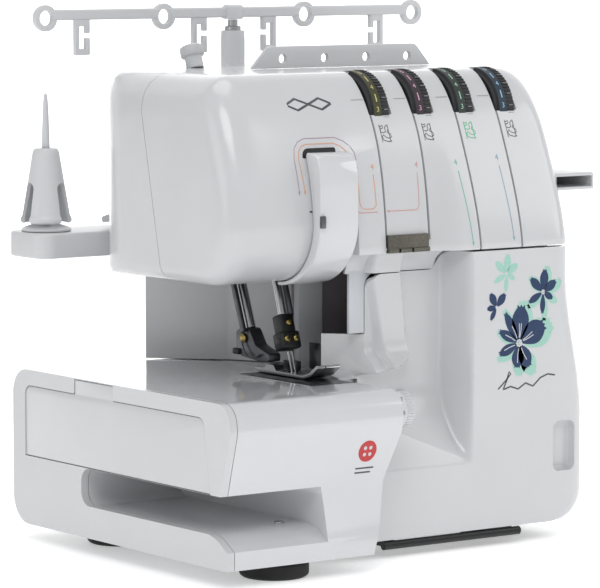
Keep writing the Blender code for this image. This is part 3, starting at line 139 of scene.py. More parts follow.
# Charcoal ABS of the dials, spark eroded: almost black, no clear reflection
charcoalAbs = moulded("charcoalAbsMatt", "#1b1c1e", "#27282b", 12.0, 0.5, 0.02, (0.48, 0.6), ior=1.53)
# Black acetal: clamp, hinge rail, switch and buttons, with a dull sheen
blackAcetal = moulded("blackAcetal", "#0d0d0e", "#17181a", 10.0, 0.8, 0.015, (0.28, 0.42), ior=1.48)
# Moulded rubber: soft black with no highlight
blackRubber = moulded("blackRubber", "#0e0e0f", "#1a1a1b", 8.0, 0.6, 0.03, (0.65, 0.8), ior=1.52)
# Nickel plated steel: bright, slightly cloudy mirror
nickelSteel = moulded("nickelPlatedSteel", "#a7a8aa", "#c4c5c6", 14.0, 0.5, 0.004, (0.16, 0.28),
                      metallic=1.0)
# Ground steel of the needle plate and knives: grinding lines across the plate, drawn coarse enough to show
groundSteel = moulded("groundSteel", "#595b5f", "#7c7e82", 20.0, 1.0, 0.006, (0.24, 0.42), metallic=1.0,
                      stretch=(1, 0.06, 1))
# Sintered, oiled steel of the clamp, ankle and foot: dark grey with a broken shine
darkSteel = moulded("oiledDarkSteel", "#4c4d50", "#808286", 9.0, 0.7, 0.012, (0.22, 0.4), metallic=1.0)
# Grit blasted steel of the thread guide: sparkle of coarse pits, drawn coarser than the real grit
blastedSteel = moulded("gritBlastedSteel", "#4a4842", "#86837a", 0.9, 0.7, 0.12, (0.35, 0.6), metallic=1.0)
# Die-cast aluminium of the frame: matt grey skin with flow marks
castAlloy = moulded("dieCastAluminium", "#85878a", "#9c9ea0", 25.0, 1.2, 0.05, (0.45, 0.6), metallic=1.0)
# Yellow passivated screws
brassScrew = moulded("passivatedScrew", "#8d7a44", "#b8a56a", 3.0, 0.4, 0.004, (0.2, 0.3), metallic=1.0)


# Screen or pad printed ink: even colour with slightly thin patches, a little duller than the shell.
def ink(name, colour, second):
    return moulded(name, colour, second, 3.0, 0.4, 0.004, (0.3, 0.42), ior=1.5)


greyInk = ink("greyPadInk", "#8f9194", "#a2a4a6")
darkInk = ink("darkPadInk", "#3c4043", "#54585c")
orangeInk = ink("orangePadInk", "#cf8f6a", "#dba483")
purpleInk = ink("purplePadInk", "#9a8196", "#ac95a8")
pinkInk = ink("pinkPadInk", "#c08a86", "#cf9f9a")
tealInk = ink("tealPadInk", "#5aa895", "#76b8a8")
blueInk = ink("bluePadInk", "#6b8fa8", "#86a5ba")
greenInk = ink("greenPadInk", "#3aa873", "#58b98a")
navyInk = ink("navyScreenInk", "#0d2a50", "#16365f")
mintInk = ink("mintScreenInk", "#93c4b4", "#a6cfc2")
redInk = ink("redLabelInk", "#b3272c", "#c33a3c")
print("materials ready:", len(bpy.data.materials))

# Mesh helpers, all in millimetres


def smoothStep(low, high, value):
    t = min(max((value - low) / (high - low), 0.0), 1.0)
    return t * t * (3 - 2 * t)


def bezier(p0, p1, p2, p3, count):
    points = []
    for k in range(count):
        t = k / count
        a, b, c, d = (1 - t) ** 3, 3 * t * (1 - t) ** 2, 3 * t * t * (1 - t), t**3
        points.append(tuple(a * p0[i] + b * p1[i] + c * p2[i] + d * p3[i] for i in (0, 1)))
    return points


# Outline of (u, v, radius) corners, each rounded by an arc.
def filleted(corners, steps=8):
    outline = []
    count = len(corners)
    for i, (u, v, radius) in enumerate(corners):
        here = Vector((u, v))
        if radius <= 0:
            outline.append((u, v))
            continue
        before = (Vector(corners[i - 1][:2]) - here).normalized()
        after = (Vector(corners[(i + 1) % count][:2]) - here).normalized()
        half = before.angle(after) / 2
        centre = here + (before + after).normalized() * (radius / math.sin(half))
        first = here + before * (radius / math.tan(half)) - centre
        last = here + after * (radius / math.tan(half)) - centre
        sweep = first.angle_signed(last)
        for k in range(steps + 1):
            outline.append(tuple(centre + Matrix.Rotation(-sweep * k / steps, 2) @ first))
    return outline


# A sheet of quads whose corners are put in place by a rule of two shares, across and up.
def gridSurface(columns, rows, place):
    bm = bmesh.new()
    bmesh.ops.create_grid(bm, x_segments=columns, y_segments=rows, size=1.0)
    for vert in bm.verts:
        vert.co = Vector(place((vert.co.x + 1) / 2, (vert.co.y + 1) / 2))
    return bm


# Closed tube through sections with the same number of points, capped at both ends.
def loftAlong(sections):
    wide, tall = len(sections[0]), len(sections) - 1

    def place(u, w):
        return sections[round(w * tall)][round(u * wide) % wide]

    bm = gridSurface(wide, tall, place)
    bmesh.ops.remove_doubles(bm, verts=bm.verts, dist=1e-4)
    bmesh.ops.holes_fill(bm, edges=[e for e in bm.edges if e.is_boundary], sides=0)
    bmesh.ops.recalc_face_normals(bm, faces=bm.faces)
    return bm


# Outline extruded along an axis: (y, z) along X, (x, z) along Y or (x, y) along Z.
def prism(outline, axis, low, high):
    place = {"X": lambda u, v: (low, u, v), "Y": lambda u, v: (u, low, v),
             "Z": lambda u, v: (u, v, low)}[axis]
    along = {"X": Vector((1, 0, 0)), "Y": Vector((0, 1, 0)), "Z": Vector((0, 0, 1))}[axis]
    bm = bmesh.new()
    face = bm.faces.new([bm.verts.new(place(u, v)) for u, v in outline])
    grown = bmesh.ops.extrude_face_region(bm, geom=[face])["geom"]
    bmesh.ops.translate(bm, verts=[g for g in grown if isinstance(g, bmesh.types.BMVert)],
                        vec=along * (high - low))
    bmesh.ops.recalc_face_normals(bm, faces=bm.faces)
    return bm


def roundedBlock(low, high, radius=0.0, segments=3):
    bm = bmesh.new()
    bmesh.ops.create_cube(bm, size=1.0)
    low, high = Vector(low), Vector(high)
    bmesh.ops.scale(bm, verts=bm.verts, vec=high - low)
    bmesh.ops.translate(bm, verts=bm.verts, vec=(high + low) / 2)
    if radius > 0:
        bmesh.ops.bevel(bm, geom=bm.edges, offset=radius, segments=segments, affect="EDGES", profile=0.5,
                        material=-1)
    return bm


# Profile of (radius, height) spun about the line through foot.
def turned(profile, foot, direction=(0, 0, 1), steps=64):
    bm = bmesh.new()
    verts = [bm.verts.new((radius, 0.0, height)) for radius, height in profile]
    edges = [bm.edges.new(pair) for pair in zip(verts, verts[1:])]
    if profile[0][0] > 0 and profile[-1][0] > 0:
        edges.append(bm.edges.new((verts[-1], verts[0])))
    bmesh.ops.spin(bm, geom=verts + edges, cent=(0, 0, 0), axis=(0, 0, 1), angle=math.tau, steps=steps,
                   use_merge=True)
    bmesh.ops.remove_doubles(bm, verts=bm.verts, dist=1e-4)
    bmesh.ops.recalc_face_normals(bm, faces=bm.faces)
    turn = Vector((0, 0, 1)).rotation_difference(Vector(direction)).to_matrix().to_4x4()
    bm.transform(Matrix.Translation(Vector(foot)) @ turn)
    return bm


# Repeats a rib round an axis, as separate ribs.
def ringed(rib, centre, axis, count):
    bmesh.ops.spin(rib, geom=rib.verts[:] + rib.edges[:] + rib.faces[:], cent=centre, axis=axis,
                   angle=math.tau, steps=count, use_duplicate=True)
    return rib


# Middle of the left face of a box, where a part turning about X starts.
def leftMiddle(low, high):
    return Vector((low.x, (low.y + high.y) / 2, (low.z + high.z) / 2))


# Rounds the inner corners of a turned profile.
def softened(profile, radius=0.6, steps=3):
    made = [profile[0]]
    for before, here, after in zip(profile, profile[1:], profile[2:]):
        a, b, c = Vector(before), Vector(here), Vector(after)
        reach = min(radius, (a - b).length * 0.45, (c - b).length * 0.45)
        start, end = b + (a - b).normalized() * reach, b + (c - b).normalized() * reach
        for k in range(steps + 1):
            t = k / steps
            made.append(tuple(start * (1 - t) ** 2 + b * 2 * t * (1 - t) + end * t * t))
    return made + [profile[-1]]


# Several closed shapes in one bmesh.
def merged(*parts):
    whole = bmesh.new()
    for part in parts:
        mesh = bpy.data.meshes.new("scratch")
        part.to_mesh(mesh)
        part.free()
        whole.from_mesh(mesh)
        bpy.data.meshes.remove(mesh)
    return whole


# Round wire along points.
def wire(points, radius, sides=8):
    curve = bpy.data.curves.new("scratch", "CURVE")
    curve.dimensions = "3D"
    curve.bevel_depth = radius
    curve.bevel_resolution = max(sides // 2 - 2, 0)
    curve.use_fill_caps = True
    spline = curve.splines.new("BEZIER")
    spline.bezier_points.add(len(points) - 1)
    for knot, point in zip(spline.bezier_points, points):
        knot.co = point
        knot.handle_left_type = knot.handle_right_type = "AUTO"
    spline.resolution_u = 6
    return fromCurve(curve)


def fromCurve(curve):
    holder = bpy.data.objects.new("scratch", curve)
    bpy.context.scene.collection.objects.link(holder)
    mesh = bpy.data.meshes.new_from_object(holder.evaluated_get(bpy.context.evaluated_depsgraph_get()))
    bm = bmesh.new()
    bm.from_mesh(mesh)
    bpy.data.objects.remove(holder)
    bpy.data.meshes.remove(mesh)
    bmesh.ops.remove_doubles(bm, verts=bm.verts, dist=1e-5)
    return bm


# A figure as a thin closed plate, centred, lying in the xy plane.
def lettering(text, size, thick=0.05):
    curve = bpy.data.curves.new("scratch", "FONT")
    curve.body = text
    curve.size = size
    curve.extrude = thick
    curve.align_x = "CENTER"
    curve.align_y = "CENTER"
    curve.resolution_u = 3
    return fromCurve(curve)


# Finished object at the origin, its place in its mesh, riding on a body.
def piece(name, bm, material, body, replaces=(), sharp=35.0, modifiers=()):
    bm.transform(toWorld)
    mesh = bpy.data.meshes.new(name)
    bm.to_mesh(mesh)
    bm.free()
    made = bpy.data.objects.new(name, mesh)
    bpy.context.scene.collection.objects.link(made)
    made.data.materials.append(material)
    for kind, settings in modifiers:
        addModifier(made, kind, settings)
    bakeModifiers(made)
    made.data.shade_smooth()
    made.data.set_sharp_from_angle(angle=math.radians(sharp))
    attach(made, body)
    if replaces:
        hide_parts(*replaces)
    return made


def addModifier(made, kind, settings):
    step = made.modifiers.new(kind.lower(), kind)
    for key, value in settings.items():
        setattr(step, key, value)


def bakeModifiers(made):
    if not made.modifiers:
        return
    mesh = bpy.data.meshes.new_from_object(made.evaluated_get(bpy.context.evaluated_depsgraph_get()))
    made.modifiers.clear()
    made.data = mesh


# Cuts a shape away from a finished piece and removes the cutter.
def carve(made, cutter, operation="DIFFERENCE"):
    cutter.transform(toWorld)
    mesh = bpy.data.meshes.new("scratch")
    cutter.to_mesh(mesh)
    cutter.free()
    helper = bpy.data.objects.new("scratch", mesh)
    bpy.context.scene.collection.objects.link(helper)
    addModifier(made, "BOOLEAN", {"operation": operation, "object": helper, "solver": "MANIFOLD"})
    bakeModifiers(made)
    bpy.data.objects.remove(helper)
    made.data.shade_smooth()
    made.data.set_sharp_from_angle(angle=math.radians(32))


def bevelStep(width, segments=2, angle=32.0):
    return ("BEVEL", {"width": width * mm, "segments": segments, "limit_method": "ANGLE",
                      "angle_limit": math.radians(angle), "harden_normals": False})


def wallStep(thickness, offset=-1.0):
    return ("SOLIDIFY", {"thickness": thickness * mm, "offset": offset, "use_even_offset": True})


# Head: one fine loft, split along the leaning seam

head = dict(left=span("front_cover")[0].x, right=span("front_cover")[1].x, top=span("front_cover")[1].z,
            rear=span("rear_cover")[1].y, under=171.0, step=130.0, lowRight=187.2, nose=37.0, wall=2.5,
            frontLeft=47.5, frontRight=38.0, gap=0.5)
dials = dict(first=151.0, pitch=33.0, slot=17.6, z=head["top"] - 27.5, radius=28.5)


def headFoot(x):
    return head["frontLeft"] - (head["frontLeft"] - head["frontRight"]) * smoothStep(183, 206, x)


def headOutline(x, leftPart):
    low = headFoot(x)
    top, rear = head["top"], head["rear"]
    knee, crown = (60.0, top - 37.5), (93.0, top)
    if leftPart:
        under, radius = head["under"], head["nose"]
        start = (low, under + radius)
        angles = [math.radians(90 * k / 14) for k in range(14)]
        foot = [(low + radius - radius * math.sin(a), under + radius - radius * math.cos(a)) for a in angles]
    else:
        under = head["lowRight"]
        start = (low, under + 1.0)
        foot = [(low + 22.0 - 1.6 * k, under) for k in range(13)] + [(low + 0.4, under)]
    face = bezier(start, (low + 2, start[1] + 22), (knee[0] - 8, knee[1] - 20), knee, 16)
    brow = bezier(knee, (66.0, top - 22), (79.0, top), crown, 16)
    flat = [(crown[0] + (rear - 14 - crown[0]) * k / 8, top) for k in range(8)]
    back = [(rear - 14 + 14 * math.sin(a), top - 14 + 14 * math.cos(a)) for a in
            (math.radians(90 * k / 8) for k in range(9))]
    down = [(rear, top - 14 + (under + 4 - top + 14) * k / 5) for k in range(1, 6)]
    floor = [(rear - 4, under)] + [(rear - 4 + (low + 38 - rear + 4) * k / 5, under) for k in range(1, 5)]
    return foot + face + brow + flat + back + down + floor, low, under


def cornerIn(radius, distance):
    if distance >= radius:
        return 0.0
    return radius - math.sqrt(max(radius**2 - (radius - distance) ** 2, 0.0))


def headSection(x, leftPart, ends=(0, 0, 0, 0)):
    outline, low, under = headOutline(x, leftPart)
    frontIn, topIn, rearIn, underIn = ends
    sy = (head["rear"] - rearIn - low - frontIn) / (head["rear"] - low)
    sz = (head["top"] - topIn - under - underIn) / (head["top"] - under)
    return [(x, low + frontIn + (y - low) * sy, under + underIn + (z - under) * sz) for y, z in outline]


def headLoft():
    sections = []
    for s in (0.0, 0.15, 0.5, 1.1, 2, 3, 4.5, 6, 8, 10, 12.5, 15, 18, 22, 26, 31, 37, 43, 50, 57, 65, 80):
        sections.append(headSection(head["left"] + s, True, [cornerIn(r, s) for r in (18, 26, 65, 10)]))
    sections.append(headSection(head["step"], True))
    for x in [head["step"] + 0.6, 150, 170] + [183 + 1.6 * k for k in range(15)] + [220, 240, 255]:
        sections.append(headSection(x, False))
    for s in (28, 23, 19, 16, 13, 10.5, 8.5, 6.5, 5, 3.5, 2.4, 1.5, 0.8, 0.3, 0.0):
        sections.append(headSection(head["right"] - s, False, (*[cornerIn(r, s) for r in (15, 23, 18)], 0)))
    return loftAlong(sections)


seamRise = 0.214


def seamY(z):
    return 122.7 + (z - 170.0) * seamRise


def headHalf(front):
    bm = headLoft()
    normal = Vector((0, 1, -seamRise)).normalized()
    point = Vector((0, seamY(0) + (0 if front else head["gap"]), 0))
    bmesh.ops.bisect_plane(bm, geom=bm.verts[:] + bm.edges[:] + bm.faces[:], dist=1e-5, plane_co=point,
                           plane_no=normal, clear_outer=front, clear_inner=not front)
    return bm


headFront = piece("headFront", headHalf(True), whiteAbs, "machine", ("front_cover",),
                  modifiers=[wallStep(head["wall"])])
headRear = piece("headRear", headHalf(False), whiteAbs, "machine", ("rear_cover",),
                 modifiers=[wallStep(head["wall"])])
print("head lofted")

dialSlots = []
for i in range(4):
    left = dials["first"] + i * dials["pitch"]
    outline = filleted([(left, dials["z"] + 1.5, 1.2), (left + dials["slot"], dials["z"] + 1.5, 1.2),
                        (left + dials["slot"], 330, 0), (left, 330, 0)], 3)
    dialSlots.append(prism(outline, "Y", 30.0, 91.5))
carve(headFront, merged(*dialSlots))
for half in (headFront, headRear):
    carve(half, roundedBlock((97, 84, 160), (126, 160, 180), 2.0))
carve(headRear, roundedBlock((74.5, 216, 196), (87.5, 240, 235), 2.0))


# Front of the head at a place, found along the outline of its section.
def faceY(x, z):
    outline, low, under = headOutline(x, x < head["step"])
    front = [p for p in outline if p[0] < 120]
    best = min(range(len(front) - 1), key=lambda k: 0 if min(front[k][1], front[k + 1][1]) <= z
               <= max(front[k][1], front[k + 1][1]) and front[k][0] < 95 else 1)
    (y0, z0), (y1, z1) = front[best], front[best + 1]
    return y0 + (y1 - y0) * (z - z0) / (z1 - z0 or 1)


# Grooves that lead the threads down from the dials
grooves = dict(width=1.5, depth=3.0, low=(188.0, 198.5, 187.3, 187.3))
grooveCuts = []
for i in range(4):
    x = dials["first"] + i * dials["pitch"] + 0.2
    low = grooves["low"][i]
    levels = [low - 4 + (dials["z"] + 8 - low + 4) * k / 18 for k in range(19)]

    def groovePlace(u, w, x=x, levels=levels):
        z = levels[round(w * 18)]
        y = faceY(x, max(z, 187.6))
        corner = round(u * 4) % 4
        return (x + (0 if corner in (0, 3) else grooves["width"]),
                y + (-3 if corner < 2 else grooves["depth"]), z)

    bm = gridSurface(4, 18, groovePlace)
    bmesh.ops.remove_doubles(bm, verts=bm.verts, dist=1e-4)
    bmesh.ops.holes_fill(bm, edges=[e for e in bm.edges if e.is_boundary], sides=0)
    bmesh.ops.recalc_face_normals(bm, faces=bm.faces)
    grooveCuts.append(bm)
carve(headFront, merged(*grooveCuts))
print("slots and grooves cut")

# Lower body behind the looper cover: the CAD shell below the head, cleaned up

def cleanedCopy(node):
    bm = bmesh.new()
    bm.from_mesh(frame["nodes"][node].data)
    bmesh.ops.remove_doubles(bm, verts=bm.verts, dist=1e-6)
    bm.transform(toWorld.inverted())
    return bm


lower = cleanedCopy("rear_cover")
for co, no in (((0, 0, head["under"] - 0.3), (0, 0, 1)), ((0, 0, head["lowRight"] - 0.7), (0, 0, 1)),
               ((head["step"] + 0.8, 0, 0), (1, 0, 0))):
    bmesh.ops.bisect_plane(lower, geom=lower.verts[:] + lower.edges[:] + lower.faces[:], dist=1e-5,
                           plane_co=co, plane_no=no)
cutHigh, cutLow, cutRight = head["lowRight"] - 0.7, head["under"] - 0.3, head["step"] + 0.8
hidden = []
for face in lower.faces:
    middle = face.calc_center_median()
    if middle.z > cutHigh or (middle.z > cutLow and middle.x < cutRight):
        hidden.append(face)
bmesh.ops.delete(lower, geom=hidden, context="FACES")
piece("bodyRear", lower, whiteAbs, "machine", ("rear_cover",), sharp=28)

# Right cover: fine sheet round the corner

body = dict(right=307.0, rear=228.0, top=186.0, low=11.0, corner=15.0, foot=20.0, split=270.0, front=66.0)


def bodyRight(z):
    lean = smoothStep(75, 170, z)
    return body["right"] - cornerIn(body["foot"], z - body["low"]) - (body["right"] - head["right"]) * lean


def sidePlace(u, w):
    z = body["low"] + (body["top"] - body["low"]) * w**1.4
    right, r = bodyRight(z), body["corner"]
    if u < 0.3:
        return (body["split"] + (right - r - body["split"]) * u / 0.3, body["rear"], z)
    if u < 0.55:
        a = math.radians(90 * (u - 0.3) / 0.25)
        return (right - r + r * math.sin(a), body["rear"] - r + r * math.cos(a), z)
    return (right, body["rear"] - r + (body["front"] - body["rear"] + r) * (u - 0.55) / 0.45, z)


rightCover = piece("rightCover", gridSurface(60, 60, sidePlace), whiteAbs, "machine",
                   ("right_cover",), modifiers=[wallStep(2.5, 1.0)])
inletLow, inletHigh = span("power_inlet")
switchLow, switchHigh = span("power_switch")
for low, high, gap in ((inletLow, inletHigh, 0.4), (switchLow, switchHigh, 1.6)):
    carve(rightCover, roundedBlock((280, low.y - gap, low.z - gap), (330, high.y + gap, high.z + gap), 0.8))
print("body shells made")

# Looper cover

door = dict(front=38.0, back=65.2, left=146.0, ledgeTop=136.4, ledgeLow=111.8, top=186.0, topLeft=174.0,
            wallY=62.7, barY=56.5, notch=(81.4, 109.4, 140.3), floorLow=54.0, floorHigh=104.0,
            side=(203.5, 213.0), corner=15.0)


def bedRight(z):
    return 127.0 - 20.0 * min(max((84.0 - z) / 75.0, 0.0), 1.0)


# Recess beside the bed: a three-cornered ramp, then a bowl that curves up into the back wall.
def bowlDepth(x, z):
    full = door["wallY"] - door["front"]
    share = min(max((211.0 - x) / 61.0, 0.0), 1.3)
    creaseZ = door["floorLow"] + 26.0 * share
    creaseDepth = 11.0 * share
    if z <= door["floorLow"]:
        return 0.0
    if z < creaseZ:
        return creaseDepth * (z - door["floorLow"]) / (creaseZ - door["floorLow"])
    t = min((z - creaseZ) / (door["floorHigh"] - creaseZ), 1.0)
    return creaseDepth + (full - creaseDepth) * math.sin(math.pi / 2 * t)


# Right edge of the raised bar and of the ledge at its foot.
def shelfEdge(z):
    if z > 124.0:
        return 176.0 - (z - 124.0) * 0.104
    t = min(max((z - door["ledgeLow"]) / (124.0 - door["ledgeLow"]), 0.0), 1.0)
    return 141.0 + 35.0 * math.sin(math.pi / 2 * t) ** 0.8


# Face of the bar and of the ledge, which runs back beside the needle and flows forward at its foot.
def ledgeY(x, z):
    barLeft = 155.0 - (z - 140.0) * 0.18
    bar = door["wallY"] - (door["wallY"] - door["barY"]) * smoothStep(barLeft - 5, barLeft, x)
    foot = 1.0 - smoothStep(door["ledgeLow"], door["ledgeTop"], z)
    behind = 1.1 * max(146.0 - x, 0.0)
    return bar + behind - 12.0 * foot * foot * smoothStep(129, 144, x)


def doorY(x, z):
    side = 1.0 - smoothStep(*door["side"], x)
    bowl = door["front"] + bowlDepth(x, z) * side
    edge = shelfEdge(z)
    above = smoothStep(door["ledgeLow"] - 2.5, door["ledgeLow"] + 1.5, z)
    keep = (1.0 - smoothStep(edge - 2.4, edge + 1.4, x)) * above
    return bowl * (1 - keep) + ledgeY(x, z) * keep if keep > 0 else bowl


def doorTop(x):
    return door["top"] - 12.0 * (1 - smoothStep(198, 205, x))


def doorPlace(u, w):
    z = door["top"] if w > 0.9999 else 11.0 + (door["top"] - 11.0) * w
    left = min(bedRight(z + 5.0 * smoothStep(51, 78, z)) + 0.5, 128.0)
    right, r = bodyRight(z), door["corner"]
    if u < 0.86:
        t = u / 0.86
        x = left + (right - r - left) * t
        return (x, doorY(x, z), z)
    if u < 0.95:
        a = math.radians(90 * (u - 0.86) / 0.09)
        return (right - r + r * math.sin(a), door["front"] + r - r * math.cos(a), z)
    y = door["front"] + r + (door["back"] - door["front"] - r) * (u - 0.95) / 0.05
    return (right, y, z)


looperDoor = piece("looperDoor", gridSurface(270, 230, doorPlace), whiteAbs, "looper_door",
                   ("looper_cover",), modifiers=[wallStep(2.3)])
seamOutline = filleted([(100, door["ledgeTop"], 0), (door["left"], door["ledgeTop"], 0.8),
                        (door["left"], door["topLeft"], 9.0), (198, door["topLeft"], 5.0),
                        (207, door["top"], 4.0),
                        (260, door["top"], 0), (320, door["top"] - 0.4, 0), (320, 240, 0), (100, 240, 0)], 8)
carve(looperDoor, prism(seamOutline, "Y", 20, 90))
notchLow, notchHigh, notchRight = door["notch"]
carve(looperDoor, prism(filleted([(100, notchLow, 0), (notchRight, notchLow, 2.0),
                                  (notchRight, notchHigh, 0.5), (100, notchHigh, 0)], 4), "Y", 20, 90))
sideSlope = prism([(46, 190), (46, 185.8), (70, 183.6), (70, 190)], "X", 270, 330)
carve(looperDoor, sideSlope)

# Thumb recess with a rounded floor
thumb = dict(x=(275.5, 295.5), z=(41.5, 76.0), depth=6.5, wall=1.2)
thumbOutline = filleted([(thumb["x"][0], thumb["z"][0], 6), (thumb["x"][1], thumb["z"][0], 6),
                         (thumb["x"][1], thumb["z"][1], 6), (thumb["x"][0], thumb["z"][1], 6)], 6)
carve(looperDoor, prism(thumbOutline, "Y", 20, 45))


# A dish: out along its rim, sunk smoothly towards the middle.
def thumbPlace(u, w):
    ring = thumbOutline[round(u * len(thumbOutline)) % len(thumbOutline)]
    cx, cz = sum(thumb["x"]) / 2, sum(thumb["z"]) / 2
    out = [1.0, 0.995, 0.985, 0.965, 0.93, 0.88, 0.8, 0.6, 0.35, 0.15, 0.001][round(w * 10)]
    sink = thumb["depth"]
    if out > 0.8:
        sink *= math.sqrt(max(1 - ((out - 0.8) / 0.2) ** 2, 0.0))
    return (cx + (ring[0] - cx) * out, door["front"] + sink, cz + (ring[1] - cz) * out)


bm = gridSurface(len(thumbOutline), 10, thumbPlace)
bmesh.ops.remove_doubles(bm, verts=bm.verts, dist=1e-3)
piece("thumbDish", bm, whiteAbs, "looper_door", modifiers=[wallStep(thumb["wall"], 1.0)])
print("looper cover made")

# Ceiling of the recess, between the head and the looper cover
ceiling = dict(left=131.0, right=206.5, wall=1.6)


def ceilingPlace(u, w):
    x = ceiling["left"] + (ceiling["right"] - ceiling["left"]) * u
    lowZ = doorTop(x) + 0.6
    top = (headFoot(x) + 0.3, head["lowRight"] + 2.0)
    foot = (min(doorY(x, doorTop(x) - 1.0), door["wallY"]), lowZ)
    drop = math.sin(math.pi / 2 * w) ** 1.1
    y = foot[0] + (top[0] - foot[0]) * (1 - math.cos(math.pi / 2 * w)) ** 0.9 + 0.2 * (1 - w)
    return (x, y, foot[1] + (top[1] - foot[1]) * drop)


piece("scoopCeiling", gridSurface(70, 24, ceilingPlace), whiteAbs, "machine",
      modifiers=[wallStep(ceiling["wall"])])
tongueLow = door["ledgeTop"] + 1.0
tongueOutline = filleted([(134, tongueLow, 0), (door["left"] - 0.5, tongueLow, 0.8),
                          (door["left"] - 0.5, door["topLeft"] + 0.5, 9.4),
                          (200, door["topLeft"] + 0.5, 3), (200, 188, 0), (134, 188, 0)], 10)
piece("scoopTongue", prism(tongueOutline, "Y", 62.7, 65.1), innerAbs, "machine",
      modifiers=[bevelStep(0.4)])
# Back panel of the recess in the darker plum grey, painted shade deep in the gap
piece("recessBack", roundedBlock((131, 118.0, 112), (188, 120.5, 172), 0.6), gapShadeAbs, "machine")
piece("recessPost", roundedBlock((131, 112, 112), (150, 117.5, 172), 1.0), innerAbs, "machine")
piece("headEndWall", roundedBlock((127.8, 72, 172), (129.8, 121, 188), 0.5), innerAbs, "machine")

# Bed and end cap

bed = dict(length=127.0, top=span("bed_cover")[1].z, rear=240.0, front=span("bed_cover")[0].y, slotLow=31.0,
           slotHigh=54.5, slotReach=73.0, cap=5.0, wall=2.5)


def bedProfile(inset):
    t = inset
    low = 11.0 - (20 if inset else 0)
    return filleted([(1.0 + t, low, 0), (1.0 + t, 24.0, 0), (8.0 + t, bed["slotHigh"], 0),
                     (bed["front"] + t, 92.0, 12.0), (bed["front"] + 1.5 + t, bed["top"] - t, 13.0),
                     (bed["rear"] - t, bed["top"] - t, 16.0), (bed["rear"] - t, low, 0 if t else 18.0)], 14)


def slotProfile(g):
    return filleted([(-60.0, 24.0 - g, 0), (1.0, 22.0 - g, 0), (5.0, 24.5 - g, 0), (12.0, 28.8 - g, 0),
                     (20.0, bed["slotLow"] - g, 0), (160.0 + g, bed["slotLow"] - g, 9.0 + g),
                     (160.0 + g, bed["slotHigh"] + g, 9.0 + g), (-60.0, bed["slotHigh"] + g, 0)], 10)


def bedEnd(inset):
    t = inset
    return [(-80, -40), (bedRight(0) - t, -40), (bedRight(9) - t, 9), (bedRight(84) - t, 84),
            (bed["length"] - t, bed["top"] + 30), (-80, bed["top"] + 30)]


def bedShell(name, low, high, material, node):
    made = piece(name, prism(bedProfile(0.0), "X", low, min(high, bed["length"])), material, "machine",
                 (node,))
    if high > bed["length"]:
        carve(made, prism(bedEnd(0.0), "Y", -40, 400), "INTERSECT")
    carve(made, prism(slotProfile(0.0), "X", -30, bed["slotReach"]))
    return made


bedCover = bedShell("bedCover", bed["cap"] + 0.5, 400, bedAbs, "bed_cover")
inside = prism(bedProfile(bed["wall"]), "X", -15, bed["length"] - bed["wall"])
hollow = piece("hollow", inside, innerAbs, "machine")
carve(hollow, prism(bedEnd(bed["wall"]), "Y", -60, 400), "INTERSECT")
carve(hollow, prism(slotProfile(bed["wall"]), "X", -60, bed["slotReach"] + bed["wall"]))
hollowMesh = bmesh.new()
hollowMesh.from_mesh(hollow.data)
hollowMesh.transform(toWorld.inverted())
bpy.data.objects.remove(hollow)
carve(bedCover, hollowMesh)
carve(bedCover, roundedBlock((97, 46, -20), (147, 222.5, bed["top"] - bed["wall"] - 0.01)))
plateLow, plateHigh = span("needle_plate")
carve(bedCover, roundedBlock((plateLow.x - 0.4, plateLow.y - 0.4, 97), (140, plateHigh.y + 0.4, 119)))

panelLow, panelHigh = span("bed_end_panel")


def panelOutline(g):
    z0, z1, tab = panelLow.z, 99.0, panelHigh.z
    return filleted([(panelLow.y - g, z0 - g, 0), (panelLow.y + 7 - g, z1 + g, 6), (124 - g, z1 + g, 1),
                     (124 - g, tab + g, 1), (167 + g, tab + g, 1), (167 + g, z1 + g, 1),
                     (225 + g, z1 + g, 6), (225 + g, z0 - g, 0)], 8)


bedCap = bedShell("bedCap", 0.0, bed["cap"], whiteAbs, "bed_end_cap")
carve(bedCap, prism(panelOutline(0.5), "X", -20, 2.5))
carve(bedCap, roundedBlock((-20, 32, bed["slotHigh"] + 6), (25, 214, 94)))
piece("bedPanel", prism(panelOutline(0.0), "X", panelLow.x, panelHigh.x), whiteAbs, "end_panel",
      ("bed_end_panel",), modifiers=[bevelStep(0.25)])
piece("slotScrew", turned(softened([(0, 0), (3.2, 0), (3.2, 1.6), (1.2, 2.4), (0, 2.4)], 0.5),
                          (58, 30, bed["slotLow"] - 0.6)), nickelSteel, "machine")
print("bed made")

# Take-up cover: a strap round the nose, rounded across

strap = dict(left=span("takeup_cover")[0].x, right=span("takeup_cover")[1].x, top=span("takeup_cover")[1].z,
             noseY=84.5, noseZ=208.0, reachY=46.0, reachZ=39.8, inner=37.5)
strapTurns = [math.radians(90 * k / 28) for k in range(29)]
strapOuter = [(strap["noseY"] - strap["reachY"] * math.sin(a),
               strap["noseZ"] - strap["reachZ"] * math.cos(a)) for a in strapTurns]
strapOuter += bezier((38.5, strap["top"] - 22), (38.5, strap["top"] - 5), (41.5, strap["top"]),
                     (53, strap["top"]), 14)
strapOuter += [(53, strap["top"]), (54.5, strap["top"] - 0.2)]
strapInner = [(53.9, strap["top"] - 4.6), (50.7, strap["top"] - 16.3), (48.4, strap["top"] - 28.5)]
strapInner += [(strap["noseY"] - strap["inner"] * math.sin(a),
                strap["noseZ"] - strap["inner"] * math.cos(a)) for a in reversed(strapTurns)]
piece("takeupStrap", prism(strapOuter + strapInner, "X", strap["left"], strap["right"]), bedAbs,
      "machine", ("takeup_cover",), modifiers=[bevelStep(1.5, 4, 50)])


# Lays a flat plate drawn in xy onto the head's front, its thickness outwards.
def onHead(bm, lift=0.03):
    for vert in bm.verts:
        x, z, w = vert.co
        vert.co = (x, faceY(x, z) - lift - w, z)
    return bm


